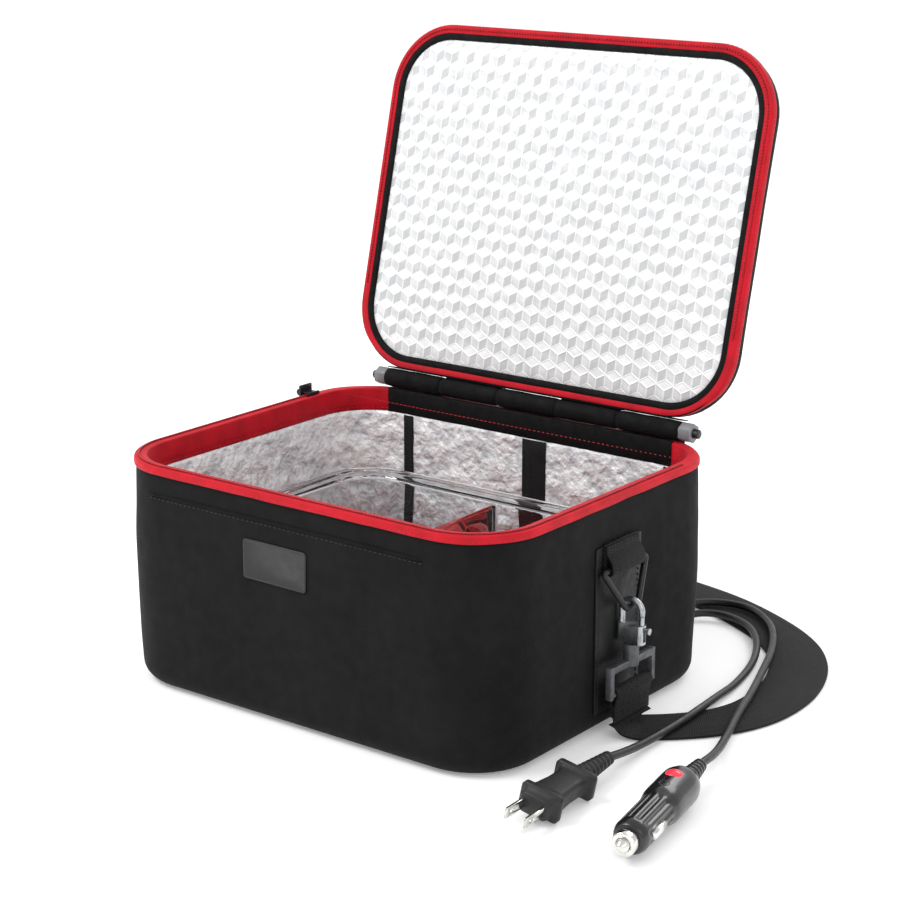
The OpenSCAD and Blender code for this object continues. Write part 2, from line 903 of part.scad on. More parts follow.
// spring snap hook: crown over the ring, body with the bolt's bore, and a neck for the swivel
module snap_hook() {
    translate([hook_x, tab_y, hook_z]) {
        rotate([90, 0, 0])
            intersection() {
                rotate_extrude($fn = 64)
                    translate([hook_r, 0])
                        circle(r = hook_wire, $fn = 24);
                translate([-20, 0, -5])
                    cube([40, 20, 10]);
            }
        bar([-hook_r, 0, -9], [-hook_r, 0, 0], hook_wire);
        bar([hook_r, 0, -2], [hook_r, 0, 0], hook_wire);
    }
    difference() {
        translate([hook_x, tab_y, body_top - body_h])
            linear_extrude(body_h)
                rounded_plan(2 * hook_r + 4.6, 7, 3);
        translate([hook_x + hook_r, tab_y, body_top - body_h + 1.6])
            cylinder(r = 1.65, h = body_h);
        translate([hook_x + hook_r, tab_y - 1.4, body_top - body_h + 1.6])
            cube([6, 2.8, body_h - 3]);
    }
    translate([hook_x, tab_y, body_top - body_h - 6])
        cylinder(r = 2, h = 7);
    translate([hook_x, tab_y, body_top - body_h - 7.6])
        cylinder(r = 3.2, h = 2);
}

module hook_bolt() {
    translate([hook_x + hook_r, tab_y, body_top - 4]) {
        cylinder(r = 1.6, h = hook_z - 2.4 - body_top + 4);
        translate([0, 0, 1.2])
            rotate([0, 90, 0])
                cylinder(r = 1.2, h = 5);
        translate([4.6, 0, 1.2])
            rotate([0, 90, 0])
                cylinder(r = 2, h = 1.4);
    }
}

module strap_ring() {
    eye_top = body_top - body_h - 0.5;
    top_z = bar_z + 16;
    difference() {
        union() {
            translate([hook_x, tab_y, top_z - 2])
                cylinder(r = 4.8, h = eye_top - top_z + 2);
            translate([hook_x, tab_y, top_z])
                cube([4, 48, 4], center = true);
            for (s = [-1, 1])
                translate([hook_x, tab_y + s * 22.3, (bar_z + top_z) / 2])
                    cube([4, 3.4, top_z - bar_z + 4.4], center = true);
            translate([hook_x, tab_y - 22, bar_z])
                rotate([-90, 0, 0])
                    cylinder(r = 2.2, h = 44);
        }
        translate([hook_x, tab_y, body_top - body_h - 7])
            cylinder(r = 2.06, h = 12);
        translate([hook_x, tab_y, top_z - 4])
            cylinder(r = 3.5, h = body_top - body_h - 5.3 - top_z + 4);
    }
}

// end of the webbing, folded round the ring's lower bar and sewn
module strap_end() {
    translate([hook_x, tab_y + web_w / 2, bar_z])
        rotate([90, 0, 0])
            linear_extrude(web_w)
                difference() {
                    union() {
                        circle(r = 4.2);
                        translate([-1.7, strap_end_z - bar_z])
                            square([3.4, bar_z - strap_end_z - 3]);
                        polygon([[-4.2, 0], [-1.7, -8], [1.7, -8], [4.2, 0]]);
                    }
                    circle(r = 2.5);
                    polygon([[-2.5, 0], [2.5, 0], [0, -6]]);
                }
}

module d_ring_right() { color("#17171a") at_side(1) d_ring(); }
module d_ring_left() { color("#17171a") at_side(-1) d_ring(); }
module snap_hook_right() { color("#a9adb3") at_side(1) snap_hook(); }
module snap_hook_left() { color("#a9adb3") at_side(-1) snap_hook(); }
module hook_bolt_right() { color("#b9bdc3") at_side(1) hook_bolt(); }
module hook_bolt_left() { color("#b9bdc3") at_side(-1) hook_bolt(); }
module strap_ring_right() { color("#4c4e52") at_side(1) strap_ring(); }
module strap_ring_left() { color("#4c4e52") at_side(-1) strap_ring(); }
module strap_end_right() { color("#141414") at_side(1) strap_end(); }
module strap_end_left() { color("#141414") at_side(-1) strap_end(); }

module shoulder_strap() {
    color("#141414")
        webbing(smooth(strap_route, 3), web_w, strap_t);
}

// three-bar slide, with the webbing threaded over its middle bar
module strap_adjuster() {
    color("#1b1b1d")
        translate([adjuster_x, adjuster_y, 2.3])
            difference() {
                slab(28, web_w + 10, 3, 2.2);
                for (x = [-6.7, 6.7])
                    translate([x, 0, -over])
                        slab(8.6, web_w + 1.6, 1, 5);
            }
}

// ---------- leads ----------
// flat coil in two layers: in along the floor and out again on top of that
function coil_point(c, a1, turns, k, n) =
    let (f = k / n, a = a1 - 360 * turns * (1 - f), in_r = coil_out_r - coil_pitch * turns / 2,
         half_turn = 0.25 / turns,
         r = in_r + (coil_out_r - in_r) * abs(2 * f - 1),
         climb = min(max((f - 0.5 + half_turn) / (2 * half_turn), 0), 1))
    [c[0] + r * cos(a), c[1] + r * sin(a), cord_r + coil_pitch * climb];
function coil_path(c, a1, turns) =
    let (n = ceil(turns * 24)) [for (k = [0 : n]) coil_point(c, a1, turns, k, n)];
function turn_gap(p, apart) = min([for (i = [0 : len(p) - 1 - apart])
    min([for (j = [i + apart : min(i + apart + 320, len(p) - 1)]) norm(p[i] - p[j])])]);
ac_path = coil_path(ac_coil, ac_leave, ac_turns);
dc_path = coil_path(dc_coil, dc_leave, dc_turns);
function last(p) = p[len(p) - 1];
end_gap = 1;                               // between the coil and the free run that goes on from it
function off(a, b) = a + end_gap * unit(b - a);
ac_free = concat([off(last(ac_path), ac_route[0])], ac_route, [off(ac_plug_at, last(ac_route))]);
dc_free = concat([off(last(dc_path), dc_route[0])], dc_route, [off(car_plug_at, last(dc_route))]);
ac_start = [off(ac_conn_at, [-105, 132, 3.6]), [-105, 132, 3.6], [-97, 134.4, 2.6],
    off(ac_path[0], [-97, 134.4, 2.6])];
dc_in = [-3, 143.6, 3.2];                  // passes outside the coil's upper layer
dc_start = [off(dc_plug_at, dc_in), dc_in, off(dc_path[0], dc_in)];
echo(coil_gap = [turn_gap(ac_path, 12) - cord_d, turn_gap(dc_path, 12) - cord_d]);
echo(lead_lengths = [run_length(ac_path) + run_length(smooth(ac_free, 3)) + run_length(ac_start),
    run_length(dc_path) + run_length(smooth(dc_free, 3)) + run_length(dc_start)]);
echo(strap_length = run_length(smooth(strap_route, 3)));

module ac_cord() {
    color("#18181a") {
        tube(smooth(ac_free, 2), cord_r, 8);
        tube(smooth(ac_start, 2), cord_r, 8);
    }
}

module ac_cord_coil() {
    color("#18181a")
        tube(ac_path, cord_r, 6);
}

module dc_cord() {
    color("#18181a") {
        tube(smooth(dc_free, 2), cord_r, 8);
        tube(smooth(dc_start, 2), cord_r, 8);
    }
}

module dc_cord_coil() {
    color("#18181a")
        tube(dc_path, cord_r, 6);
}

// figure-8 connector, lying flat behind the bag
module ac_connector() {
    color("#1b1b1d")
        translate(ac_conn_at)
            rotate([0, 0, 180]) {
                rotate([0, 90, 0])
                    cylinder(r1 = 3, r2 = 4.6, h = 16);
                difference() {
                    translate([14, 0, 0])
                        rotate([90, 0, 90])
                            linear_extrude(24)
                                union() {
                                    for (x = [-3.6, 3.6])
                                        translate([x, 0])
                                            circle(r = 4.3);
                                    square([7.2, 8.6], center = true);
                                }
                    for (y = [-4.3, 4.3])
                        translate([28, y, 0])
                            rotate([0, 90, 0])
                                cylinder(r = 1.3, h = 12);
                }
            }
}

module dc_barrel_plug() {
    color("#1b1b1d")
        translate(dc_plug_at)
            rotate([0, 0, dc_plug_turn])
                rotate([0, 90, 0]) {
                    cylinder(r1 = 3, r2 = 5, h = 10);
                    translate([0, 0, 10])
                        cylinder(r = 5, h = 14);
                    difference() {
                        translate([0, 0, 24])
                            cylinder(r = 2.75, h = 9.5);
                        translate([0, 0, 26])
                            cylinder(r = 1.15, h = 9);
                    }
                }
}

// two-blade mains plug that lies rolled to one side
module at_ac_plug() {
    translate(ac_plug_at)
        rotate([0, 0, ac_plug_turn])
            rotate([ac_plug_roll, 0, 0])
                children();
}

// ribbed strain relief, waisted body, two grip flanges and a nose
module ac_plug() {
    color("#202022")
        at_ac_plug() {
            rotate([0, 90, 0])
                cylinder(r1 = 3.2, r2 = 6.5, h = 36);
            for (x = [3 : 4.4 : 31])
                translate([x, 0, 0])
                    rotate([0, 90, 0])
                        cylinder(r = 4.6 + x / 11, h = 2.4);
            translate([36, -13, -8.5])
                cube([4, 26, 17]);
            translate([40, -9, -6.5])
                cube([31, 18, 13]);
            translate([71, -13, -8.5])
                cube([4.5, 26, 17]);
            translate([75.5, -9.5, -6.5])
                cube([6.5, 19, 13]);
        }
}

module ac_plug_blades() {
    color("#c9c9cb")
        at_ac_plug()
            for (y = [-6.35, 6.35])
                difference() {
                    translate([82, y - 0.75, -3.2])
                        cube([17.5, 1.5, 6.4]);
                    translate([94.5, y, 0])
                        rotate([90, 0, 0])
                            cylinder(r = 1.5, h = 4, center = true);
                }
}

module at_car_plug() {
    translate(car_plug_at)
        rotate([0, 0, car_plug_turn])
            children();
}

// car plug: strain relief, thick grip with the lamp's seat, slim barrel with two side slots
module car_plug() {
    color("#242427")
        at_car_plug()
            rotate([0, 90, 0]) {
                cylinder(r1 = 3.6, r2 = 6, h = 26);
                difference() {
                    union() {
                        translate([0, 0, 24])
                            cylinder(r1 = 8, r2 = 12, h = 9);
                        translate([0, 0, 33])
                            cylinder(r = 12, h = 32);
                        translate([0, 0, 65])
                            cylinder(r1 = 12, r2 = 10.4, h = 4);
                        translate([0, 0, 69])
                            cylinder(r = 10.4, h = 36);
                        translate([0, 0, 105])
                            cylinder(r1 = 10.4, r2 = 8.4, h = 5);
                    }
                    translate([0, 0, 76])
                        cylinder(r = 4, h = 60);
                    translate([-13, 0, 43])
                        rotate([0, 90, 0])
                            cylinder(r = 5, h = 4);
                    translate([-13, 0, 58])
                        rotate([0, 90, 0])
                            cylinder(r = 2.6, h = 3);
                    for (s = [-1, 1])
                        translate([-2.4, s * 9 - 3, 82])
                            cube([4.8, 6, 18]);
                }
            }
}

module car_plug_lamp() {
    color("#ff2a2a")
        at_car_plug()
            translate([43, 0, 9])
                cylinder(r1 = 4.9, r2 = 3.6, h = 4);
}

// leaf springs in the plug's sides, and the collar round its tip
module car_plug_contacts() {
    color("#d4d4d6")
        at_car_plug() {
            for (s = [-1, 1])
                translate([91, s * 8.9, 0])
                    cube([17, 5.8, 4.2], center = true);
            translate([110, 0, 0])
                rotate([0, 90, 0])
                    difference() {
                        cylinder(r = 7, h = 7);
                        translate([0, 0, -over])
                            cylinder(r = 4, h = 9);
                    }
        }
}

// centre tip that springs in
module car_plug_tip() {
    color("#d4d4d6")
        at_car_plug()
            rotate([0, 90, 0]) {
                translate([0, 0, 102])
                    cylinder(r = 3.94, h = 17);
                translate([0, 0, 119])
                    cylinder(r1 = 3.94, r2 = 1.8, h = 3);
            }
}

outer_shell();
wall_insulation();
base_board();
foil_liner();
rim_tape();
lower_zip_chain();
front_pocket();
label_patch();
liner_straps();
hinge_sleeve();
hinge_rod();
hinge_end_caps();
side_patches();
tab_loops();
lid_hinge_loops();
lid_shell();
lid_foam();
lid_foil_panel();
lid_binding();
lid_zip_tape();
upper_zip_chain();
zip_slider();
zip_pull();
tray_housing();
heating_plate();
heating_element();
insulation_pad();
tray_base_cover();
tray_components();
tray_wiring();
ac_inlet();
dc_jack();
inlet_metal();
tray_feet();
tray_screws();
glass_dish();
d_ring_right();
d_ring_left();
snap_hook_right();
snap_hook_left();
hook_bolt_right();
hook_bolt_left();
strap_ring_right();
strap_ring_left();
strap_end_right();
strap_end_left();
shoulder_strap();
strap_adjuster();
ac_cord();
ac_cord_coil();
ac_connector();
ac_plug();
ac_plug_blades();
dc_cord();
dc_cord_coil();
dc_barrel_plug();
car_plug();
car_plug_contacts();
car_plug_tip();
car_plug_lamp();
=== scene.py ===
import json
import math

import bmesh
import bpy
from mathutils import Matrix, Vector, noise


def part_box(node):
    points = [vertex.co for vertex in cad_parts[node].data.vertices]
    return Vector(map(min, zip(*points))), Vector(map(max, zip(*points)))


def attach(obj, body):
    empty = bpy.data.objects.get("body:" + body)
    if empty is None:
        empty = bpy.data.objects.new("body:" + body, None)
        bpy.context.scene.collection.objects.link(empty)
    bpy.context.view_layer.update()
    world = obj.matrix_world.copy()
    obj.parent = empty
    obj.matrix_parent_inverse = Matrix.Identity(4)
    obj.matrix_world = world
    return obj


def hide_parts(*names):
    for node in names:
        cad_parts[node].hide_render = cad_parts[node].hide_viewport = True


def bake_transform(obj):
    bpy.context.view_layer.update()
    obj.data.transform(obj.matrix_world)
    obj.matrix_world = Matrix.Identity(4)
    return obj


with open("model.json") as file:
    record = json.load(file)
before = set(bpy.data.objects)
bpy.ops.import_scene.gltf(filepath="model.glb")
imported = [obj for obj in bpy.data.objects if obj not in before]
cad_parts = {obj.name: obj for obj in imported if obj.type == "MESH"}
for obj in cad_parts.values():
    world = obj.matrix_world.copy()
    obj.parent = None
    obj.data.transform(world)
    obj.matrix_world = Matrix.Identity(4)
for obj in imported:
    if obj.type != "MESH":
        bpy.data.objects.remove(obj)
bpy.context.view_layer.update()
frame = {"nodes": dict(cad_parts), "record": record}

bl_info = {
    "name": "Electric lunch box",
    "version": (1, 0, 0),
    "blender": (4, 5, 0),
    "location": "3D Viewport > Sidebar > Lunch box",
    "description": "Dresses the lunch box's frame with its cloth, plastic, glass and metal pieces",
    "category": "Add Mesh",
}

MM = 0.001


# The frame's own sizes, in millimetres; the rest of the sizes follow from these.
SHELL_LOW, SHELL_HIGH = [[v / MM for v in corner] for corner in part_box("outer_shell")]
RIM_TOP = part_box("rim_tape")[1][2] / MM


# ---------- settings a user would change ----------
class LunchBoxSizes(bpy.types.PropertyGroup):
    """Sizes of the soft and moulded detail, in metres."""

    corner_radius: bpy.props.FloatProperty(
        name="Corner radius", description="Plan radius of the bag's upright corners",
        default=0.045, min=0.02, max=0.06, unit="LENGTH")
    wall_bulge: bpy.props.FloatProperty(
        name="Wall bulge", description="How far the soft walls swell at mid height",
        default=0.0018, min=0.0, max=0.004, unit="LENGTH")
    lid_crown: bpy.props.FloatProperty(
        name="Lid crown", description="How far the padded lid swells in its middle",
        default=0.004, min=0.0, max=0.008, unit="LENGTH")
    foil_cell: bpy.props.FloatProperty(
        name="Foil cell", description="Width of one embossed cell of the lid's foil",
        default=0.013, min=0.006, max=0.03, unit="LENGTH")
    foil_crinkle: bpy.props.FloatProperty(
        name="Foil crinkle", description="Height of the creases in the lining of the bag",
        default=0.0011, min=0.0, max=0.002, unit="LENGTH")
    stitch_pitch: bpy.props.FloatProperty(
        name="Stitch pitch", description="Distance from one stitch to the next",
        default=0.0036, min=0.002, max=0.006, unit="LENGTH")
    tooth_pitch: bpy.props.FloatProperty(
        name="Tooth pitch", description="Distance from one turn of the zip's coil to the next",
        default=0.0022, min=0.0015, max=0.004, unit="LENGTH")


class LunchBoxColours(bpy.types.PropertyGroup):
    """Colours of the main finishes."""

    cover: bpy.props.StringProperty(
        name="Cover", description="sRGB colour of the woven cover", default="#131314")
    trim: bpy.props.StringProperty(
        name="Trim", description="sRGB colour of the tape round the rim", default="#c4041c")
    tray: bpy.props.StringProperty(
        name="Tray", description="sRGB colour of the tray's moulding", default="#2f3034")
    # red of the plate's heated zone, also used for the zone's painted glow
    zone_red_and_painted_glow: bpy.props.StringProperty(
        name="Heated zone", description="sRGB colour of the plate's heated zone", default="#f01410")


def sizes():
    return bpy.context.scene.lunch_box_sizes


def colours():
    return bpy.context.scene.lunch_box_colours


# ---------- colour and material helpers ----------
def linear(code):
    """Turns an sRGB hex colour such as #1b1b1d into Blender's linear RGBA."""
    values = [int(code[i:i + 2], 16) / 255 for i in (1, 3, 5)]
    return [v / 12.92 if v <= 0.04045 else ((v + 0.055) / 1.055) ** 2.4 for v in values] + [1.0]


def add(tree, kind, links=(), **settings):
    """Adds a node with its settings, then sets or joins the inputs that links names."""
    made = tree.nodes.new(kind)
    for key, value in settings.items():
        setattr(made, key, value)
    for key, value in dict(links).items():
        if isinstance(value, bpy.types.NodeSocket):
            tree.links.new(value, made.inputs[key])
        else:
            made.inputs[key].default_value = value
    return made


def finish_of(name, colour, roughness, **sockets):
    """A new material, its node tree, its Principled shader and its Object coordinates."""
    material = bpy.data.materials.new(name)
    material.use_nodes = True
    tree = material.node_tree
    shader = tree.nodes["Principled BSDF"]
    shader.inputs["Base Color"].default_value = linear(colour)
    shader.inputs["Roughness"].default_value = roughness
    for key, value in sockets.items():
        shader.inputs[key.replace("_", " ")].default_value = value
    place = add(tree, "ShaderNodeTexCoord").outputs["Object"]
    return material, tree, shader, place


def tint(tree, shader, factor, dark, light):
    """Base colour that runs from dark to light with a factor."""
    ramp = add(tree, "ShaderNodeValToRGB", {"Fac": factor})
    ramp.color_ramp.elements[0].position = 0.3
    ramp.color_ramp.elements[0].color = linear(dark)
    ramp.color_ramp.elements[1].position = 0.7
    ramp.color_ramp.elements[1].color = linear(light)
    tree.links.new(ramp.outputs["Color"], shader.inputs["Base Color"])
    return ramp


def emboss(tree, shader, height, depth_mm, strength=1.0, under=None):
    """Bumps the surface by height times depth, over a bump that is already there."""
    links = {"Height": height, "Distance": depth_mm * MM, "Strength": strength}
    if under is not None:
        links["Normal"] = under
    bump = add(tree, "ShaderNodeBump", links)
    tree.links.new(bump.outputs["Normal"], shader.inputs["Normal"])
    return bump.outputs["Normal"]


def grain(tree, place, size_mm, detail=3.0, kind="ShaderNodeTexNoise"):
    """Noise whose lumps are about size_mm across."""
    made = add(tree, kind, {"Vector": place, "Scale": 1 / (size_mm * MM)})
    if kind == "ShaderNodeTexNoise":
        made.inputs["Detail"].default_value = detail
    return made


def spread(tree, value, low, high, to_low, to_high):
    """Maps a range of value to another range."""
    made = add(tree, "ShaderNodeMapRange",
               {"Value": value, "From Min": low, "From Max": high, "To Min": to_low, "To Max": to_high})
    return made.outputs["Result"]


def maths(tree, operation, first, second=0.0):
    made = add(tree, "ShaderNodeMath", operation=operation)
    for socket, value in zip(made.inputs, (first, second)):
        if isinstance(value, bpy.types.NodeSocket):
            tree.links.new(value, socket)
        else:
            socket.default_value = value
    return made.outputs["Value"]


def vectors(tree, operation, first, second=(0.0, 0.0, 0.0)):
    """Like maths, for vectors."""
    made = add(tree, "ShaderNodeVectorMath", operation=operation)
    for socket, value in zip(made.inputs, (first, second)):
        if isinstance(value, bpy.types.NodeSocket):
            tree.links.new(value, socket)
        else:
            socket.default_value = value
    return made.outputs["Value" if operation in ("LENGTH", "DOT_PRODUCT") else "Vector"]


def threads(tree, place, pitch_mm):
    """Plain weave: warp and weft threads that rise in turn over each other."""
    axes = add(tree, "ShaderNodeSeparateXYZ", {"Vector": place}).outputs
    turns = 2 * math.pi / (pitch_mm * MM)
    around = maths(tree, "ADD", axes["X"], axes["Y"])
    warp = maths(tree, "SINE", maths(tree, "MULTIPLY", around, turns))
    weft = maths(tree, "SINE", maths(tree, "MULTIPLY", axes["Z"], turns))
    return maths(tree, "MULTIPLY", warp, weft)


# ---------- mesh helpers, in millimetres ----------
def piece(name, points, faces, material, body=None, replaces=(), slot=None):
    """Makes a mesh piece from points in millimetres; material is the name of its finish."""
    mesh = bpy.data.meshes.new(name)
    mesh.from_pydata([Vector(p) * MM for p in points], [], faces)
    made = bpy.data.objects.new(name, mesh)
    bpy.context.scene.collection.objects.link(made)
    work = bmesh.new()
    work.from_mesh(mesh)
    bmesh.ops.remove_doubles(work, verts=work.verts, dist=1e-6)
    bmesh.ops.recalc_face_normals(work, faces=work.faces)
    work.to_mesh(mesh)
    work.free()
    mesh.materials.append(finish(material))
    for face in mesh.polygons:
        face.use_smooth = True
    return attached(made, body, replaces)


def attached(made, body, replaces):
    """Tells the frame what a piece rides on, and hides the CAD nodes that it stands for."""
    if body:
        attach(made, body)
    if replaces:
        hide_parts(*replaces)
    return made


def copy_of(node, name, material, bevel_mm=0.4, segments=2, angle=32):
    """A copy of a CAD node with its edges rounded, which then stands for the node."""
    source = frame["nodes"][node]
    made = bpy.data.objects.new(name, source.data.copy())
    bpy.context.scene.collection.objects.link(made)
    work = bmesh.new()
    work.from_mesh(made.data)
    bmesh.ops.remove_doubles(work, verts=work.verts, dist=2e-6)
    bmesh.ops.dissolve_limit(work, angle_limit=math.radians(2), verts=work.verts, edges=work.edges)
    work.to_mesh(made.data)
    work.free()
    made.data.materials.clear()
    made.data.materials.append(finish(material))
    round_edges(made, bevel_mm, segments, angle)
    body = next(b for b, nodes in frame["record"]["behaviour"]["bodies"].items() if node in nodes)
    return attached(made, body, [node])


def round_edges(made, bevel_mm, segments, angle):
    """Rounds sharp edges and shades the faces smooth."""
    bevel = made.modifiers.new("rounded edges", "BEVEL")
    bevel.width = bevel_mm * MM
    bevel.segments = segments
    bevel.limit_method = "ANGLE"
    bevel.angle_limit = math.radians(angle)
    bevel.harden_normals = True
    settle(made)
    for face in made.data.polygons:
        face.use_smooth = True
    made.data.set_sharp_from_angle(angle=math.radians(48))


def settle(made):
    """Turns a piece's modifiers into a plain mesh."""
    evaluated = made.evaluated_get(bpy.context.evaluated_depsgraph_get())
    mesh = bpy.data.meshes.new_from_object(evaluated)
    materials = list(made.data.materials)
    made.modifiers.clear()
    made.data = mesh
    if not mesh.materials:
        for material in materials:
            mesh.materials.append(material)


def joined(name, parts, material, body=None, replaces=(), slot=None):
    """One piece from several lists of points and faces."""
    points, faces = [], []
    for some_points, some_faces in parts:
        start = len(points)
        points += some_points
        faces += [[i + start for i in face] for face in some_faces]
    return piece(name, points, faces, material, body, replaces, slot)


def grid_faces(rows, columns, closed=True):
    """Quads between rings of points; closed joins each ring's end to its start."""
    last = columns if closed else columns - 1
    return [(r * columns + c, r * columns + (c + 1) % columns,
             (r + 1) * columns + (c + 1) % columns, (r + 1) * columns + c)
            for r in range(rows - 1) for c in range(last)]


def tube_faces(rows, columns, closed=False):
    """Quads between closed rings; the last ring meets the first, or both ends are capped."""
    faces = grid_faces(rows, columns)
    last = (rows - 1) * columns
    if closed:
        return faces + [(last + c, last + (c + 1) % columns, (c + 1) % columns, c) for c in range(columns)]
    return faces + [list(range(columns))[::-1], list(range(last, last + columns))]


def outline(length, width, radius, per_corner=12, per_side=10):
    """Rounded rectangle as (x, y, nx, ny): its points and their outward directions, anticlockwise."""
    points = []
    for quarter in range(4):
        angle = quarter * math.pi / 2
        sx = (1, -1, -1, 1)[quarter]
        sy = (1, 1, -1, -1)[quarter]
        cx = sx * (length / 2 - radius)
        cy = sy * (width / 2 - radius)
        for k in range(per_corner):
            a = angle + k / per_corner * math.pi / 2
            points.append((cx + radius * math.cos(a), cy + radius * math.sin(a), math.cos(a), math.sin(a)))
        a = angle + math.pi / 2
        nx, ny = round(math.cos(a)), round(math.sin(a))
        straight = (length if ny else width) - 2 * radius
        for k in range(per_side):
            step = straight * k / per_side
            points.append((cx + radius * nx - step * ny, cy + radius * ny + step * nx, nx, ny))
    return points


def swept(path, profile, closed=False, level=None):
    """Sweeps a closed profile of (side, up) points along a path; level gives the side direction."""
    rows = []
    for i, point in enumerate(path):
        before = path[i - 1] if i or closed else path[i]
        after = path[(i + 1) % len(path)] if i < len(path) - 1 or closed else path[i]
        ahead = (Vector(after) - Vector(before)).normalized()
        side = Vector(level(i)) if level else ahead.cross(Vector((0, 0, 1))).normalized()
        up = side.cross(ahead).normalized()
        rows += [Vector(point) + side * s + up * u for s, u in profile]
    return rows, tube_faces(len(path), len(profile), closed)


def circle(radius, sides):
    return [(radius * math.cos(2 * math.pi * k / sides), radius * math.sin(2 * math.pi * k / sides))
            for k in range(sides)]


def rounded_section(half_w, half_h, corner, per_corner=4):
    """Rectangle with round corners, as pairs of coordinates."""
    corner = min(corner, half_w, half_h)
    points = []
    for quarter in range(4):
        across = (half_w - corner) * (1, -1, -1, 1)[quarter]
        up = (half_h - corner) * (1, 1, -1, -1)[quarter]
        for k in range(per_corner + 1):
            a = (quarter + k / per_corner) * math.pi / 2
            points.append((across + corner * math.cos(a), up + corner * math.sin(a)))
    return points


def soft_bar(width, height):
    """Profile of a flat band with round edges."""
    return rounded_section(width / 2, height / 2, 0.35 * min(width, height), 3)


def spline(points, steps):
    """Smooth curve through points, with steps points to each stretch."""
    points = [Vector(p) for p in points]
    made = []
    for i in range(len(points) - 1):
        a, b, c, d = points[max(i - 1, 0)], points[i], points[i + 1], points[min(i + 2, len(points) - 1)]
        for k in range(steps):
            t = k / steps
            made.append(0.5 * (2 * b + (c - a) * t + (2 * a - 5 * b + 4 * c - d) * t * t
                               + (3 * b - a - 3 * c + d) * t ** 3))
    return made + [points[-1]]


# ---------- materials ----------
def cover_cloth():
    """600-denier polyester, woven and coated: matte black, with a fine grid of threads and a dusty nap."""
    material, tree, shader, place = finish_of(
        "woven_polyester_cover", colours().cover, 0.85, Sheen_Weight=0.03, Sheen_Roughness=0.45,
        Specular_IOR_Level=0.16)
    # threads are 0.5 mm apart on the cloth, drawn 1.3 mm apart so that they show
    weave = threads(tree, place, 1.3)
    cloudy = grain(tree, place, 38, 4).outputs["Fac"]
    tint(tree, shader, cloudy, "#0f0f10", "#151516")
    rough = spread(tree, grain(tree, place, 9).outputs["Fac"], 0.3, 0.7, 0.78, 0.92)
    tree.links.new(rough, shader.inputs["Roughness"])
    soft = emboss(tree, shader, cloudy, 1.4, 0.5)
    emboss(tree, shader, weave, 0.07, 0.7, soft)
    return material


def red_tape():
    """Polyester grosgrain tape, woven with ribs across its length: bright red, slightly silky."""
    material, tree, shader, place = finish_of(
        "woven_grosgrain_tape", colours().trim, 0.6, Sheen_Weight=0.06, Sheen_Roughness=0.4,
        Specular_IOR_Level=0.25)
    ribs = threads(tree, place, 1.5)
    tint(tree, shader, grain(tree, place, 14, 4).outputs["Fac"], "#ad0016", "#cb0420")
    emboss(tree, shader, ribs, 0.1, 0.8)
    return material


def zip_coil():
    """Nylon monofilament, wound and heat set as a zip's coil: red, smooth and a little shiny."""
    material, tree, shader, place = finish_of("wound_nylon_zip_coil", "#a00018", 0.45)
    tint(tree, shader, grain(tree, place, 5).outputs["Fac"], "#8e0014", "#b4041e")
    return material


def crinkled_foil():
    """PET film with vapour-deposited aluminium on foam: bright silver, with soft creases, painted shade in
    their hollows and painted highlights on their crests.
    """
    material, tree, shader, place = finish_of("aluminised_pet_lining", "#f4f5f6", 0.45, Metallic=0.2)
    # creases are about 22 mm apart, with wrinkles of 7 mm between them
    wrinkle = grain(tree, place, 7, 5).outputs["Fac"]
    fold = grain(tree, place, 22, 4).outputs["Fac"]
    tree.links.new(spread(tree, wrinkle, 0.3, 0.7, 0.34, 0.56), shader.inputs["Roughness"])
    # painted shade and highlights: the base colour follows the same crease heights as the bumps, darker in the
    # hollows and lighter on the crests
    painted_crease_light = maths(tree, "ADD", maths(tree, "MULTIPLY", wrinkle, 0.6),
                    maths(tree, "MULTIPLY", fold, 0.4))
    ramp = tint(tree, shader, painted_crease_light, "#dcdfe3", "#ffffff")
    ramp.color_ramp.elements[0].position = 0.4
    ramp.color_ramp.elements[1].position = 0.56
    broad = emboss(tree, shader, fold, 9.0, 1.0)
    emboss(tree, shader, wrinkle, 3.0, 1.0, broad)
    return material


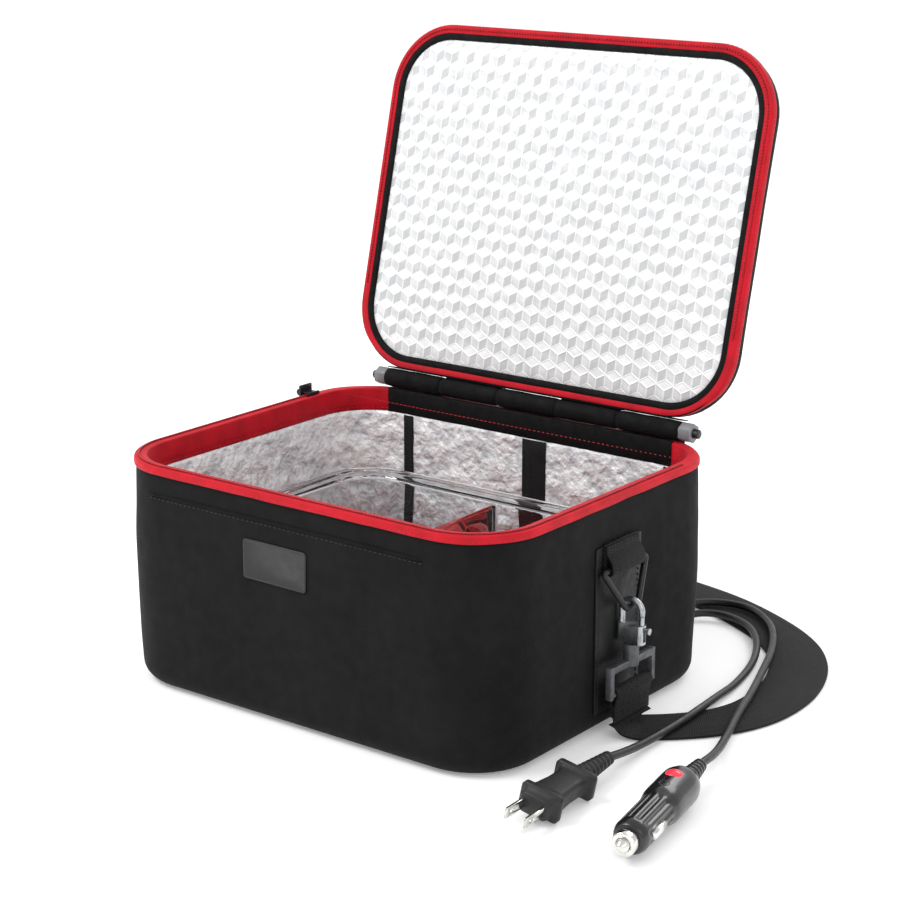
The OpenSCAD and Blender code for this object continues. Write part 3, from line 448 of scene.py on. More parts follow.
def embossed_foil():
    """Aluminised film, hot embossed over foam as stacked cubes: pale facets, one face of each cube painted
    lighter and one darker as painted light and shade, and thin ridges painted brighter as a painted highlight.
    """
    material, tree, shader, place = finish_of("embossed_aluminised_film", "#dcdee0", 0.45, Metallic=0.3)
    uv = add(tree, "ShaderNodeUVMap", uv_map="panel").outputs["UV"]
    # hexagons one cell wide, 13 mm at first: two grids of rectangles, of which the nearer centre counts
    cell, tall, cells_off = sizes().foil_cell, math.sqrt(3), 30
    step = (1.0, tall, 1.0)
    half = (0.5, tall / 2, 0.0)
    scaled = vectors(tree, "MULTIPLY", uv, (1 / cell, 1 / cell, 0.0))
    far = vectors(tree, "ADD", scaled, (cells_off, cells_off * tall, 0.0))
    shifted = vectors(tree, "ADD", far, half)
    first, second = (vectors(tree, "SUBTRACT", vectors(tree, "MODULO", grid, step), half)
                     for grid in (far, shifted))
    nearer = maths(tree, "LESS_THAN", vectors(tree, "LENGTH", first), vectors(tree, "LENGTH", second))
    chosen = add(tree, "ShaderNodeMix", data_type="VECTOR")
    for key, value in (("Factor", nearer), ("A", second), ("B", first)):
        tree.links.new(value, next(i for i in chosen.inputs if i.name == key and i.enabled))
    inside = next(o for o in chosen.outputs if o.enabled)
    x, y = add(tree, "ShaderNodeSeparateXYZ", {"Vector": inside}).outputs[:2]
    # each hexagon is a cube seen from its corner: three faces that meet at its middle
    faces = []
    for turn in (90, 210, 330):
        a = math.radians(turn)
        faces.append(vectors(tree, "DOT_PRODUCT", inside, (math.cos(a), math.sin(a), 0.0)))
    top = maths(tree, "MAXIMUM", maths(tree, "MAXIMUM", faces[0], faces[1]), faces[2])
    low = maths(tree, "MINIMUM", maths(tree, "MINIMUM", faces[0], faces[1]), faces[2])
    between = maths(tree, "ADD", maths(tree, "MULTIPLY", top, 2.0), low)
    wide, high = maths(tree, "ABSOLUTE", x), maths(tree, "ABSOLUTE", y)
    slant = maths(tree, "ADD", maths(tree, "MULTIPLY", wide, 0.5), maths(tree, "MULTIPLY", high, tall / 2))
    border = maths(tree, "MAXIMUM", wide, slant)
    ridge = maths(tree, "MAXIMUM", spread(tree, between, 0.0, 0.09, 1.0, 0.0),
                  spread(tree, border, 0.44, 0.5, 0.0, 1.0))
    almost_top = maths(tree, "SUBTRACT", top, 0.0001)
    # painted light and shade: one face of each cube is painted lighter and one darker, and the ridges are
    # painted brighter as a painted highlight
    lit, shaded = (maths(tree, "MULTIPLY", maths(tree, "GREATER_THAN", face, almost_top), amount)
                   for face, amount in ((faces[0], 0.2), (faces[1], 0.16)))
    painted_facet_light = maths(tree, "SUBTRACT", maths(tree, "ADD", lit, maths(tree, "MULTIPLY", ridge, 0.35)), shaded)
    worn = grain(tree, place, 8, 4).outputs["Fac"]
    cloudy = maths(tree, "MULTIPLY", worn, 0.5)
    tint(tree, shader, maths(tree, "ADD", maths(tree, "ADD", painted_facet_light, 0.22), cloudy), "#c4c6c8", "#f6f7f7")
    tree.links.new(spread(tree, worn, 0.3, 0.7, 0.36, 0.54), shader.inputs["Roughness"])
    # the ridges stand 0.4 mm above the faces
    pressed = emboss(tree, shader, ridge, 0.4, 0.6)
    emboss(tree, shader, worn, 0.8, 0.5, pressed)
    return material


def webbing_cloth():
    """Polypropylene webbing, woven with a raised herringbone: black, dull, with a faint oily sheen."""
    material, tree, shader, place = finish_of(
        "woven_polypropylene_webbing", "#141415", 0.72, Sheen_Weight=0.05, Sheen_Roughness=0.5,
        Specular_IOR_Level=0.22)
    uv = add(tree, "ShaderNodeUVMap", uv_map="length").outputs["UV"]
    axes = add(tree, "ShaderNodeSeparateXYZ", {"Vector": uv}).outputs
    # the rows of herringbone are 3 mm wide, their threads 1.4 mm apart
    zig = maths(tree, "PINGPONG", maths(tree, "MULTIPLY", axes["Y"], 1 / (3 * MM)), 1.0)
    slant = maths(tree, "ADD", maths(tree, "MULTIPLY", axes["X"], 1 / (1.4 * MM)), zig)
    ribs = maths(tree, "SINE", maths(tree, "MULTIPLY", slant, 2 * math.pi))
    tint(tree, shader, grain(tree, place, 11, 4).outputs["Fac"], "#0b0b0c", "#141415")
    emboss(tree, shader, ribs, 0.16, 0.8)
    return material


def foam():
    """Cross-linked polyethylene foam, cut from a block: off-white, with tiny closed cells."""
    material, tree, shader, place = finish_of("cut_polyethylene_foam", "#e2e1dc", 0.85)
    cells = grain(tree, place, 1.6, kind="ShaderNodeTexVoronoi").outputs["Distance"]
    tint(tree, shader, grain(tree, place, 20).outputs["Fac"], "#d6d5cf", "#ecebe7")
    emboss(tree, shader, cells, 0.5, 0.6)
    return material


def moulded(name, dark, light, roughness, grit_mm=0.9, depth=0.05, **sockets):
    """Injection-moulded plastic: even colour, with the fine spark-eroded texture of the mould."""
    material, tree, shader, place = finish_of(name, light, roughness, **sockets)
    tint(tree, shader, grain(tree, place, 30, 3).outputs["Fac"], dark, light)
    texture = grain(tree, place, grit_mm, 2).outputs["Fac"]
    tree.links.new(spread(tree, grain(tree, place, 6).outputs["Fac"], 0.3, 0.7, roughness * 0.88,
                          min(1.0, roughness * 1.14)), shader.inputs["Roughness"])
    emboss(tree, shader, texture, depth, 0.8)
    return material


def metal(name, dark, light, roughness, brush_mm=0.0, **sockets):
    """Cast or drawn metal: reflective, with a little tarnish and fine handling marks."""
    material, tree, shader, place = finish_of(name, light, roughness, Metallic=1.0, **sockets)
    worn = grain(tree, place, 7, 5).outputs["Fac"]
    tint(tree, shader, worn, dark, light)
    tree.links.new(spread(tree, worn, 0.3, 0.7, roughness * 0.7, roughness * 1.4), shader.inputs["Roughness"])
    if brush_mm:
        stretched = add(tree, "ShaderNodeMapping", {"Vector": place, "Scale": (1, 1, 0.08)}).outputs["Vector"]
        emboss(tree, shader, grain(tree, stretched, brush_mm, 2).outputs["Fac"], 0.05, 0.6)
    return material


def painted(name, dark, light, roughness=0.42):
    """Zinc or steel with baked black enamel: even, with worn lighter patches."""
    material, tree, shader, place = finish_of(name, light, roughness, Metallic=0.35, Coat_Weight=0.15)
    tint(tree, shader, grain(tree, place, 4, 5).outputs["Fac"], dark, light)
    emboss(tree, shader, grain(tree, place, 1.5).outputs["Fac"], 0.04, 0.6)
    return material


def heated_plate():
    """Aluminium sheet with a baked non-stick coat: grey and satin, with a red zone where it heats, and a faint
    painted red glow from that zone.
    """
    material, tree, shader, place = finish_of(
        "coated_aluminium_plate", "#6a6b70", 0.5, Metallic=0.1, Emission_Strength=0.12)
    axes = add(tree, "ShaderNodeSeparateXYZ", {"Vector": place}).outputs
    # the zone is 258 by 206 mm, with a soft border 30 mm wide
    away_x = spread(tree, maths(tree, "ABSOLUTE", axes["X"]), 0.099, 0.129, 1.0, 0.0)
    away_y = spread(tree, maths(tree, "ABSOLUTE", axes["Y"]), 0.073, 0.103, 1.0, 0.0)
    zone = maths(tree, "POWER", maths(tree, "MULTIPLY", away_x, away_y), 0.7)
    plain = tint(tree, shader, grain(tree, place, 26, 4).outputs["Fac"], "#55565b", "#66676c")
    # the zone's red goes on the base colour, and the same red goes on the emission as a faint painted glow
    for socket, outside in (("Base Color", plain.outputs["Color"]), ("Emission Color", (0, 0, 0, 1))):
        links = {"Factor": zone, "A": outside, "B": linear(colours().zone_red_and_painted_glow)}
        mixed = add(tree, "ShaderNodeMix", data_type="RGBA", links=links)
        tree.links.new(mixed.outputs["Result"], shader.inputs[socket])
    emboss(tree, shader, grain(tree, place, 0.9, 2).outputs["Fac"], 0.04, 0.7)
    return material


def pressed_glass():
    """Borosilicate glass, pressed in a mould: clear, faintly wavy, with bright edges."""
    material, tree, shader, place = finish_of(
        "pressed_borosilicate_glass", "#f3f8f9", 0.03, Transmission_Weight=1.0, IOR=1.47)
    emboss(tree, shader, grain(tree, place, 30, 2).outputs["Fac"], 0.6, 0.25)
    return material


def cable_jacket():
    """Flexible PVC, extruded over the wires: black, soft satin, with faint scuffs along it."""
    material, tree, shader, place = finish_of("extruded_pvc_jacket", "#17171a", 0.42, Specular_IOR_Level=0.45)
    scuffs = grain(tree, place, 5, 5).outputs["Fac"]
    tint(tree, shader, scuffs, "#121214", "#202024")
    tree.links.new(spread(tree, scuffs, 0.3, 0.7, 0.34, 0.52), shader.inputs["Roughness"])
    emboss(tree, shader, grain(tree, place, 2.5).outputs["Fac"], 0.05, 0.6)
    return material


def lamp_lens():
    """Polycarbonate lens over a lit lamp: clear red, bright in its middle."""
    material, tree, shader, place = finish_of(
        "moulded_polycarbonate_lens", "#e0102a", 0.12, Transmission_Weight=0.35, Emission_Strength=1.3)
    middle = grain(tree, place, 6, 1).outputs["Fac"]
    ramp = add(tree, "ShaderNodeValToRGB", {"Fac": middle})
    ramp.color_ramp.elements[0].color = linear("#a0081c")
    ramp.color_ramp.elements[1].color = linear("#ff4a58")
    tree.links.new(ramp.outputs["Color"], shader.inputs["Emission Color"])
    return material


MATERIALS = {}


def make_materials():
    """Every finish, by a short name that the pieces use."""
    tray = colours().tray
    MATERIALS.update(
        cover=cover_cloth(), tape=red_tape(), coil=zip_coil(), foil=crinkled_foil(),
        lid_foil=embossed_foil(), webbing=webbing_cloth(), foam=foam(),
        binding=moulded("folded_cloth_binding", "#09090a", "#101011", 0.8, 1.2, 0.1, Specular_IOR_Level=0.2),
        # polypropylene board, extruded: grey and faintly waxy
        board=moulded("extruded_polypropylene_board", "#545452", "#62625f", 0.55),
        # thermoplastic rubber patch, moulded: dark grey, soft satin
        patch=moulded("moulded_rubber_patch", "#1c1c1d", "#242426", 0.5, 1.1, 0.06),
        # vinyl-coated cloth, calendered: black with a leathery grain
        vinyl=moulded("calendered_vinyl_patch", "#0b0b0c", "#121213", 0.5, 2.2, 0.22, Specular_IOR_Level=0.3),
        # acetal, moulded: black and slippery
        acetal=moulded("moulded_acetal", "#111113", "#1c1c1f", 0.36),
        nylon=moulded("moulded_grey_nylon", "#6c6e72", "#86888c", 0.45),
        abs=moulded("moulded_abs_tray", "#28292d", tray, 0.48, 0.8, 0.06, Specular_IOR_Level=0.35),
        inlet=moulded("moulded_polybutylene_inlet", "#0c0c0e", "#161619", 0.25),
        silicone=moulded("moulded_silicone_foot", "#0e0e0f", "#19191a", 0.7),
        mineral=moulded("needled_glass_fibre", "#d9d2c2", "#ece6d8", 0.9, 3.0, 0.8),
        copper=metal("etched_copper_foil", "#a3612f", "#c8824a", 0.3),
        board_green=moulded("glass_epoxy_board", "#23552c", "#2f6b3a", 0.4),
        wire=moulded("extruded_silicone_wire", "#9c2020", "#bb2c2c", 0.5),
        # polyester sewing thread, twisted: a little shinier than the cloth
        thread=moulded("twisted_black_thread", "#0e0e0f", "#1a1a1b", 0.6, 1.2, 0.1),
        red_thread=moulded("twisted_red_thread", "#a80016", "#c80a22", 0.6, 1.2, 0.1),
        plug=moulded("moulded_pvc_plug", "#141416", "#202023", 0.5, 1.0, 0.08),
        barrel=moulded("moulded_gloss_abs", "#121214", "#1d1d20", 0.24, 2.0, 0.02, Coat_Weight=0.2),
        # zinc alloy, die cast and satin nickel plated: bright grey
        satin=metal("satin_nickel_zinc", "#8f9296", "#c9cccf", 0.3, 0.8),
        nickel=metal("bright_nickel_brass", "#c9c7c1", "#ecebe7", 0.14),
        enamel=painted("enamelled_steel_wire", "#0e0e10", "#1d1d20"),
        gunmetal=painted("gunmetal_zinc", "#4a4b4e", "#626366", 0.45),
        plate=heated_plate(), glass=pressed_glass(), jacket=cable_jacket(), lens=lamp_lens(),
    )


def finish(name):
    return MATERIALS[name]


# ---------- stage, camera and light ----------
CAMERA_AT = Vector((0.8455, -1.07, 0.5323))      # found from the photograph's straight edges
CAMERA_AIM = Vector((0.01703, 0.012, 0.14838))
CAMERA_LENS = 90.15


def area_light(name, place, aim, size, power):
    lamp = bpy.data.lights.new(name, "AREA")
    lamp.shape = "RECTANGLE"
    lamp.size, lamp.size_y = size
    lamp.energy = power
    made = bpy.data.objects.new(name, lamp)
    made.location = place
    made.rotation_euler = (Vector(aim) - Vector(place)).to_track_quat("-Z", "Y").to_euler()
    bpy.context.scene.collection.objects.link(made)


class MakeStage(bpy.types.Operator):
    """Sets up the camera, a plain pale floor and soft studio light."""

    bl_idname = "lunch_box.make_stage"
    bl_label = "Stage"

    def execute(self, context):
        scene = context.scene
        lens = bpy.data.cameras.new("camera")
        lens.lens = CAMERA_LENS
        lens.sensor_width = 36
        camera = bpy.data.objects.new("camera", lens)
        camera.location = CAMERA_AT
        camera.rotation_euler = (CAMERA_AIM - CAMERA_AT).to_track_quat("-Z", "Y").to_euler()
        scene.collection.objects.link(camera)
        scene.camera = camera

        floor_finish, tree, shader, place = finish_of("matt_studio_paper", "#fbfbfb", 0.9)
        tint(tree, shader, grain(tree, place, 900, 2).outputs["Fac"], "#fafafa", "#fdfdfd")
        shader.inputs["Emission Color"].default_value = (1, 1, 1, 1)
        shader.inputs["Emission Strength"].default_value = 0.2
        half, level = 9.0, -0.0002           # metres; the floor is a little under the bag
        mesh = bpy.data.meshes.new("floor")
        mesh.from_pydata([(x * half, y * half, level) for x, y in ((-1, -1), (1, -1), (1, 1), (-1, 1))],
                         [], [(0, 1, 2, 3)])
        mesh.materials.append(floor_finish)
        floor = bpy.data.objects.new("floor", mesh)
        scene.collection.objects.link(floor)

        world = bpy.data.worlds.new("studio")
        world.use_nodes = True
        sky = world.node_tree.nodes["Background"].inputs
        sky["Color"].default_value = (1, 1, 1, 1)
        sky["Strength"].default_value = 0.85
        scene.world = world
        scene.view_settings.view_transform = "Standard"
        area_light("key", (-0.9, -1.1, 1.9), (0, 0, 0.1), (1.1, 0.8), 24)
        area_light("fill", (2.0, -0.6, 1.1), (0, 0, 0.15), (1.4, 1.2), 6)
        area_light("back", (0.2, 1.9, 1.6), (0, 0, 0.2), (1.6, 0.8), 16)
        return {"FINISHED"}


# ---------- leads ----------
# The leads follow the routes of their solids: the same points, in millimetres.
CORD_R = 2.5
COIL_PITCH = 2 * CORD_R + 0.6
COIL_OUT_R = 36.5
AC_COIL, AC_TURNS, AC_LEAVE = (-88, 172), 6, -90
DC_COIL, DC_TURNS, DC_LEAVE = (22, 172), 6.25, -30
AC_CONNECTOR_AT = (-112, 131, 4.8)
AC_PLUG_AT, AC_PLUG_TURN, AC_PLUG_ROLL = (189.4, -62.5, 11.2), -87, -12
DC_PLUG_AT, DC_PLUG_TURN = (-9.5, 146.5, 5.2), 150
CAR_PLUG_AT, CAR_PLUG_TURN = (238, -42, 12.5), -79
AC_START = [AC_CONNECTOR_AT, (-105, 132, 3.6), (-97, 134.4, 2.6)]
AC_ROUTE = [(-70, 135.5, 8), (-45, 134, 5), (-20, 131, 2.6), (20, 129, 2.6), (55, 129, 2.6),
            (76, 138, 2.6), (84, 158, 2.6), (87, 178, 3), (94, 192, 4.8), (110, 199, 4.9),
            (133, 191, 4.9), (151, 172, 4.5), (163, 150, 2.8), (172, 125, 2.6), (178.5, 96, 2.8),
            (182, 70, 4.2), (184.5, 48, 4.9), (186, 25, 4.9), (186.5, 0, 4.9), (187, -24, 5.6),
            (188.3, -44, 8), AC_PLUG_AT]
DC_START = [DC_PLUG_AT, (-3, 143.6, 3.2)]
DC_ROUTE = [(60, 169, 8), (67, 188, 5.5), (77, 205, 4.8), (91, 218, 4.9), (108, 223, 4.9),
            (125, 218, 4.9), (144, 202, 4.9), (158, 182, 4.9), (171.5, 155, 4.9), (184, 122, 4.8),
            (196.5, 87, 4.8), (207.5, 52.5, 4.9), (217.5, 24, 5), (226, 0, 6), (233.5, -21, 9.8),
            CAR_PLUG_AT]


def coil(centre, leave, turns):
    """Two layers of turns: in along the floor and out again on top, the climb in the half turn between."""
    count = math.ceil(turns * 24)
    inner = COIL_OUT_R - COIL_PITCH * turns / 2
    half_turn = 0.25 / turns
    points = []
    for k in range(count + 1):
        along = k / count
        angle = math.radians(leave - 360 * turns * (1 - along))
        radius = inner + (COIL_OUT_R - inner) * abs(2 * along - 1)
        climb = min(max((along - 0.5 + half_turn) / (2 * half_turn), 0), 1)
        points.append((centre[0] + radius * math.cos(angle), centre[1] + radius * math.sin(angle),
                       CORD_R + COIL_PITCH * climb))
    return points


def lead_path(start, centre, leave, turns, route):
    turned = coil(centre, leave, turns)
    return (spline(start + [turned[0]], 4)[:-1] + [Vector(p) for p in turned]
            + spline([turned[-1]] + route, 5)[1:])


def make_lead(name, path, nodes):
    points, faces = swept(path, circle(CORD_R, 12))
    made = piece(name, points, faces, "jacket", "bag", nodes, "cord_cover")


# ---------- plugs and connectors ----------
def placed(at, turn, roll=0):
    """Where a plug lies: its own X runs out of the cord and along the plug."""
    return (Matrix.Translation(Vector(at)) @ Matrix.Rotation(math.radians(turn), 4, "Z")
            @ Matrix.Rotation(math.radians(roll), 4, "X"))


def lofted(sections, where):
    """Closed shape through sections (x, half width, half height, corner), moved to where."""
    rows = []
    for x, half_w, half_h, corner in sections:
        rows += [where @ Vector((x, y, z)) for y, z in rounded_section(half_w, half_h, corner)]
    return rows, tube_faces(len(sections), len(rows) // len(sections))


def strain_relief(length, thin, thick, ribs):
    """Sections of a ribbed sleeve that widens along the cord."""
    sections = [(0, thin * 0.9, thin * 0.9, 20)]
    for k in range(ribs):
        x = length * (k + 0.15) / ribs
        step = length / ribs
        core = thin + (thick - thin) * k / ribs
        for along, grow in ((0, 0.0), (0.12, 1.1), (0.5, 1.25), (0.62, 0.0), (0.98, 0.0)):
            sections.append((x + step * along * 0.98, core + grow, core + grow, 20))
    return sections


class MakePlugs(bpy.types.Operator):
    """Moulds the mains plug, the car plug, the figure-8 connector and the barrel plug."""

    bl_idname = "lunch_box.make_plugs"
    bl_label = "Plugs and connectors"

    def execute(self, context):
        where = placed(AC_PLUG_AT, AC_PLUG_TURN, AC_PLUG_ROLL)
        relief = lofted(strain_relief(35.5, 3.1, 5.6, 8), where)
        body = lofted([(35.2, 6, 6, 3), (35.6, 11.5, 7.4, 3), (36.4, 13, 8.4, 3), (39.4, 13, 8.4, 3),
                       (40.2, 11.5, 7.2, 3), (40.6, 9.4, 6.6, 3), (45, 8.8, 6.1, 3), (55, 8.8, 6.1, 3),
                       (66, 9.6, 6.5, 3), (70.6, 10.4, 6.9, 3), (71.2, 12.2, 7.8, 3), (72, 13, 8.4, 3),
                       (75, 13, 8.4, 3), (75.6, 12, 7.8, 3), (75.9, 9.6, 6.6, 3), (81, 9.2, 6.3, 3),
                       (81.9, 8.2, 5.4, 3)], where)
        joined("mains_plug", [relief, body], "plug", "bag", ["ac_plug"], "plug_plastic")
        copy_of("ac_plug_blades", "mains_blades", "nickel", 0.3)
        copy_of("ac_connector", "figure8_connector", "plug", 0.8, 3)

        barrel = copy_of("dc_barrel_plug", "barrel_plug", "plug", 0.3)
        barrel.data.materials.append(finish("nickel"))
        inward = placed(DC_PLUG_AT, DC_PLUG_TURN).inverted()
        for face in barrel.data.polygons:
            if (inward @ (face.center / MM)).x > 24.2:
                face.material_index = 1
        self.make_car_plug()
        return {"FINISHED"}

    def make_car_plug(self):
        where = placed(CAR_PLUG_AT, CAR_PLUG_TURN)
        relief = lofted(strain_relief(26, 3.0, 5.4, 6), where)
        # (along, radius, depth of the lengthwise grooves)
        rings = [(24, 5, 0), (24.3, 7.4, 0), (25.5, 8.6, 0), (29, 10.6, 0), (34, 11.9, 0), (40, 12, 0),
                 (48, 12, 0), (56, 12, 0), (62, 11.9, 0), (65, 11.4, 0), (67.5, 10.6, 0), (69, 10.4, 0),
                 (70.2, 10.4, 0.9), (72, 10.4, 1.3), (80, 10.4, 1.3), (90, 10.4, 1.3), (99, 10.4, 1.3),
                 (102, 10.4, 1.2), (103.6, 10.4, 0), (105.5, 10.2, 0), (108.6, 9.0, 0), (109.6, 8.2, 0),
                 (109.9, 6.9, 0), (109.9, 4.2, 0)]
        sides, grooves, rows = 72, 12, []
        for along, radius, groove in rings:
            for k in range(sides):
                a = 2 * math.pi * k / sides
                r = radius - groove * (0.5 - 0.5 * math.cos(a * grooves)) ** 2
                rows.append(where @ Vector((along, r * math.cos(a), r * math.sin(a))))
        barrel = (rows, tube_faces(len(rings), sides))
        joined("car_plug_body", [relief, barrel], "barrel", "bag", ["car_plug"], "car_plug_plastic")
        copy_of("car_plug_contacts", "car_plug_springs", "nickel", 0.7, 3)
        copy_of("car_plug_tip", "car_plug_centre_tip", "nickel", 0.4, 3)

        # the lens is a straight wall with a dome on it
        lens_at, lens_r, foot, low, high, count = 43, 4.9, 9.2, 11.0, 13.4, 28
        levels = [(lens_r, foot)]
        for k in range(7):
            t = k / 6 * math.pi / 2
            levels.append((lens_r * math.cos(t), low + (high - low) * math.sin(t)))
        points = [where @ Vector((lens_at + x, y, z)) for r, z in levels for x, y in circle(r, count)]
        faces = grid_faces(len(levels), count) + [list(range(count))[::-1]]
        piece("lamp_lens", points, faces, "lens", "bag", ["car_plug_lamp"], "red_lens")
        # a ring on the round barrel marks a blind hole beyond the lens
        hole_at, hole_r = 58, 2.9
        ring = [(hole_at + x, y, 11.75 - 0.35 * (y / hole_r) ** 2) for x, y in circle(hole_r, 40)]
        points, faces = swept(ring, circle(0.45, 8), closed=True)
        points = [where @ Vector(p) for p in points]
        piece("blind_hole_collar", points, faces, "barrel", "bag", slot="car_plug_plastic")


class MakeLeads(bpy.types.Operator):
    """Lays both leads: a neat coil behind the bag, and a free run to the plug."""

    bl_idname = "lunch_box.make_leads"
    bl_label = "Leads"

    def execute(self, context):
        make_lead("mains_lead", lead_path(AC_START, AC_COIL, AC_LEAVE, AC_TURNS, AC_ROUTE),
                  ["ac_cord", "ac_cord_coil"])
        # the lead runs on to the end of the car plug's ribbed sleeve
        inside = placed(CAR_PLUG_AT, CAR_PLUG_TURN) @ Vector((25, 0, 0))
        make_lead("car_lead", lead_path(DC_START, DC_COIL, DC_LEAVE, DC_TURNS, DC_ROUTE + [inside]),
                  ["dc_cord", "dc_cord_coil"])
        return {"FINISHED"}


# ---------- what repeats along a path: stitches and the zip's coil ----------
def repeat_tree():
    """Geometry Nodes: rounded pellets at a steady pitch along every path, turned along it."""
    tree = bpy.data.node_groups.new("pellets along paths", "GeometryNodeTree")
    sockets = tree.interface
    sockets.new_socket(name="Geometry", in_out="INPUT", socket_type="NodeSocketGeometry")
    for name in ("Pitch", "Length", "Width", "Height"):
        sockets.new_socket(name=name, in_out="INPUT", socket_type="NodeSocketFloat")
    sockets.new_socket(name="Finish", in_out="INPUT", socket_type="NodeSocketMaterial")
    sockets.new_socket(name="Geometry", in_out="OUTPUT", socket_type="NodeSocketGeometry")
    given = add(tree, "NodeGroupInput").outputs
    along = add(tree, "GeometryNodeCurveToPoints", {"Curve": given["Geometry"], "Length": given["Pitch"]},
                mode="LENGTH").outputs
    pellet = add(tree, "GeometryNodeMeshUVSphere", {"Segments": 8, "Rings": 5, "Radius": 0.5})
    size = add(tree, "ShaderNodeCombineXYZ",
               {"X": given["Length"], "Y": given["Width"], "Z": given["Height"]}).outputs["Vector"]
    turned = add(tree, "FunctionNodeAlignRotationToVector", {"Vector": along["Tangent"]}, axis="X")
    row = add(tree, "GeometryNodeInstanceOnPoints",
              {"Points": along["Points"], "Instance": pellet.outputs["Mesh"],
               "Rotation": turned.outputs["Rotation"], "Scale": size}).outputs["Instances"]
    real = add(tree, "GeometryNodeRealizeInstances", {"Geometry": row}).outputs["Geometry"]
    shaded = add(tree, "GeometryNodeSetShadeSmooth", {"Geometry": real}).outputs["Geometry"]
    dyed = add(tree, "GeometryNodeSetMaterial", {"Geometry": shaded, "Material": given["Finish"]})
    add(tree, "NodeGroupOutput", {"Geometry": dyed.outputs["Geometry"]})
    return tree


def pellets(name, paths, pitch, size, material, body, replaces=()):
    """Stitches or zip turns along paths in millimetres; size is their length, width and height."""
    tree = bpy.data.node_groups.get("pellets along paths") or repeat_tree()
    curve = bpy.data.curves.new(name + "_paths", "CURVE")
    curve.dimensions = "3D"
    for path in paths:
        line = curve.splines.new("POLY")
        line.points.add(len(path) - 1)
        for point, place in zip(line.points, path):
            point.co = (*(Vector(place) * MM), 1)
    guide = bpy.data.objects.new(name + "_guide", curve)
    bpy.context.scene.collection.objects.link(guide)
    nodes = guide.modifiers.new("pellets", "NODES")
    nodes.node_group = tree
    wanted = {"Pitch": pitch * MM, "Length": size[0] * MM, "Width": size[1] * MM, "Height": size[2] * MM,
              "Finish": finish(material)}
    for item in tree.interface.items_tree:
        if item.item_type == "SOCKET" and item.in_out == "INPUT" and item.name in wanted:
            nodes[item.identifier] = wanted[item.name]
    guide.update_tag()
    evaluated = guide.evaluated_get(bpy.context.evaluated_depsgraph_get())
    mesh = bpy.data.meshes.new_from_object(evaluated)
    made = bpy.data.objects.new(name, mesh)
    bpy.context.scene.collection.objects.link(made)
    bpy.data.objects.remove(guide)
    if not mesh.materials:
        mesh.materials.append(finish(material))
    return attached(made, body, replaces)


# ---------- bag ----------
TAB_Y = 2                           # the side tabs lie this far behind the middle
BOTTOM_R = 12
WALL = 7                            # cover, foam and lining together
CLOTH = 1.2
BAG_PLAN_SIZE = (SHELL_HIGH[0] - SHELL_LOW[0], SHELL_HIGH[1] - SHELL_LOW[1])
LINER_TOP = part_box("foil_liner")[1][2] / MM
LINER_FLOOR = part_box("foil_liner")[0][2] / MM + 0.8
ZIP_END_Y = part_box("lower_zip_chain")[1][1] / MM
LABEL_X, LABEL_Z, LABEL_W, LABEL_H = -8, 104, 50, 25
TAPE_END_Y = 98                     # behind this the rim's tape narrows towards the hinge
STRAP_LOW, STRAP_RUN = 16, 114      # where the straps of the lining start, and how far up they go


def bag_plan(per_corner=14, per_side=30):
    return outline(*BAG_PLAN_SIZE, sizes().corner_radius / MM, per_corner, per_side)


def smooth_step(low, high, value):
    t = min(max((value - low) / (high - low), 0), 1)
    return t * t * (3 - 2 * t)


def swell(x, y, z):
    """How far the soft wall stands out: a swell, slow waves, and flat under the side patches."""
    rise = min(max((z - BOTTOM_R) / (SHELL_HIGH[2] - BOTTOM_R), 0), 1)
    middle = math.sin(math.pi * rise)
    wave = 0.8 * noise.noise(Vector((x, y, z)) / 52) + 0.35 * noise.noise(Vector((x + 300, y, z)) / 21)
    firm = smooth_step(24, 48, abs(y - TAB_Y)) if abs(x) > 140 else 1
    return (sizes().wall_bulge / MM * middle + wave * math.sqrt(middle)) * firm


def ring(plan, outward, z, soft=True):
    """Points of a plan moved outwards at a height; soft adds the wall's swell."""
    points = []
    for x, y, nx, ny in plan:
        out = outward + (swell(x, y, z) if soft else 0)
        points.append((x + nx * out, y + ny * out, z))
    return points


def stacked(rings):
    """Closed shape through rings of equal length, the first and the last closed flat."""
    return [p for each in rings for p in each], tube_faces(len(rings), len(rings[0]))


def round_band(plan, profile):
    """Band along a plan outline; profile gives its closed section at a point as (outward, up)."""
    points = []
    for x, y, nx, ny in plan:
        points += [(x + nx * out, y + ny * out, z) for out, z in profile(x, y)]
    return points, tube_faces(len(plan), len(points) // len(plan), closed=True)


class MakeCover(bpy.types.Operator):
    """Lofts the bag's woven cover: a soft tub that swells a little, with a round lower edge."""

    bl_idname = "lunch_box.make_cover"
    bl_label = "Cover"

    def execute(self, context):
        plan = bag_plan()
        rings = []
        for k in range(9):
            a = math.radians(90 * k / 8)
            rings.append(ring(plan, BOTTOM_R * (math.sin(a) - 1), BOTTOM_R * (1 - math.cos(a))))
        top = SHELL_HIGH[2]
        rings += [ring(plan, 0, BOTTOM_R + (top - BOTTOM_R) * k / 30) for k in range(1, 31)]
        rings += [ring(plan, -CLOTH, top - (top - BOTTOM_R) * k / 30) for k in range(0, 31)]
        rings.append(ring(plan, -BOTTOM_R, CLOTH, soft=False))
        piece("bag_cover", *stacked(rings), "cover", "bag", ["outer_shell"])
        return {"FINISHED"}


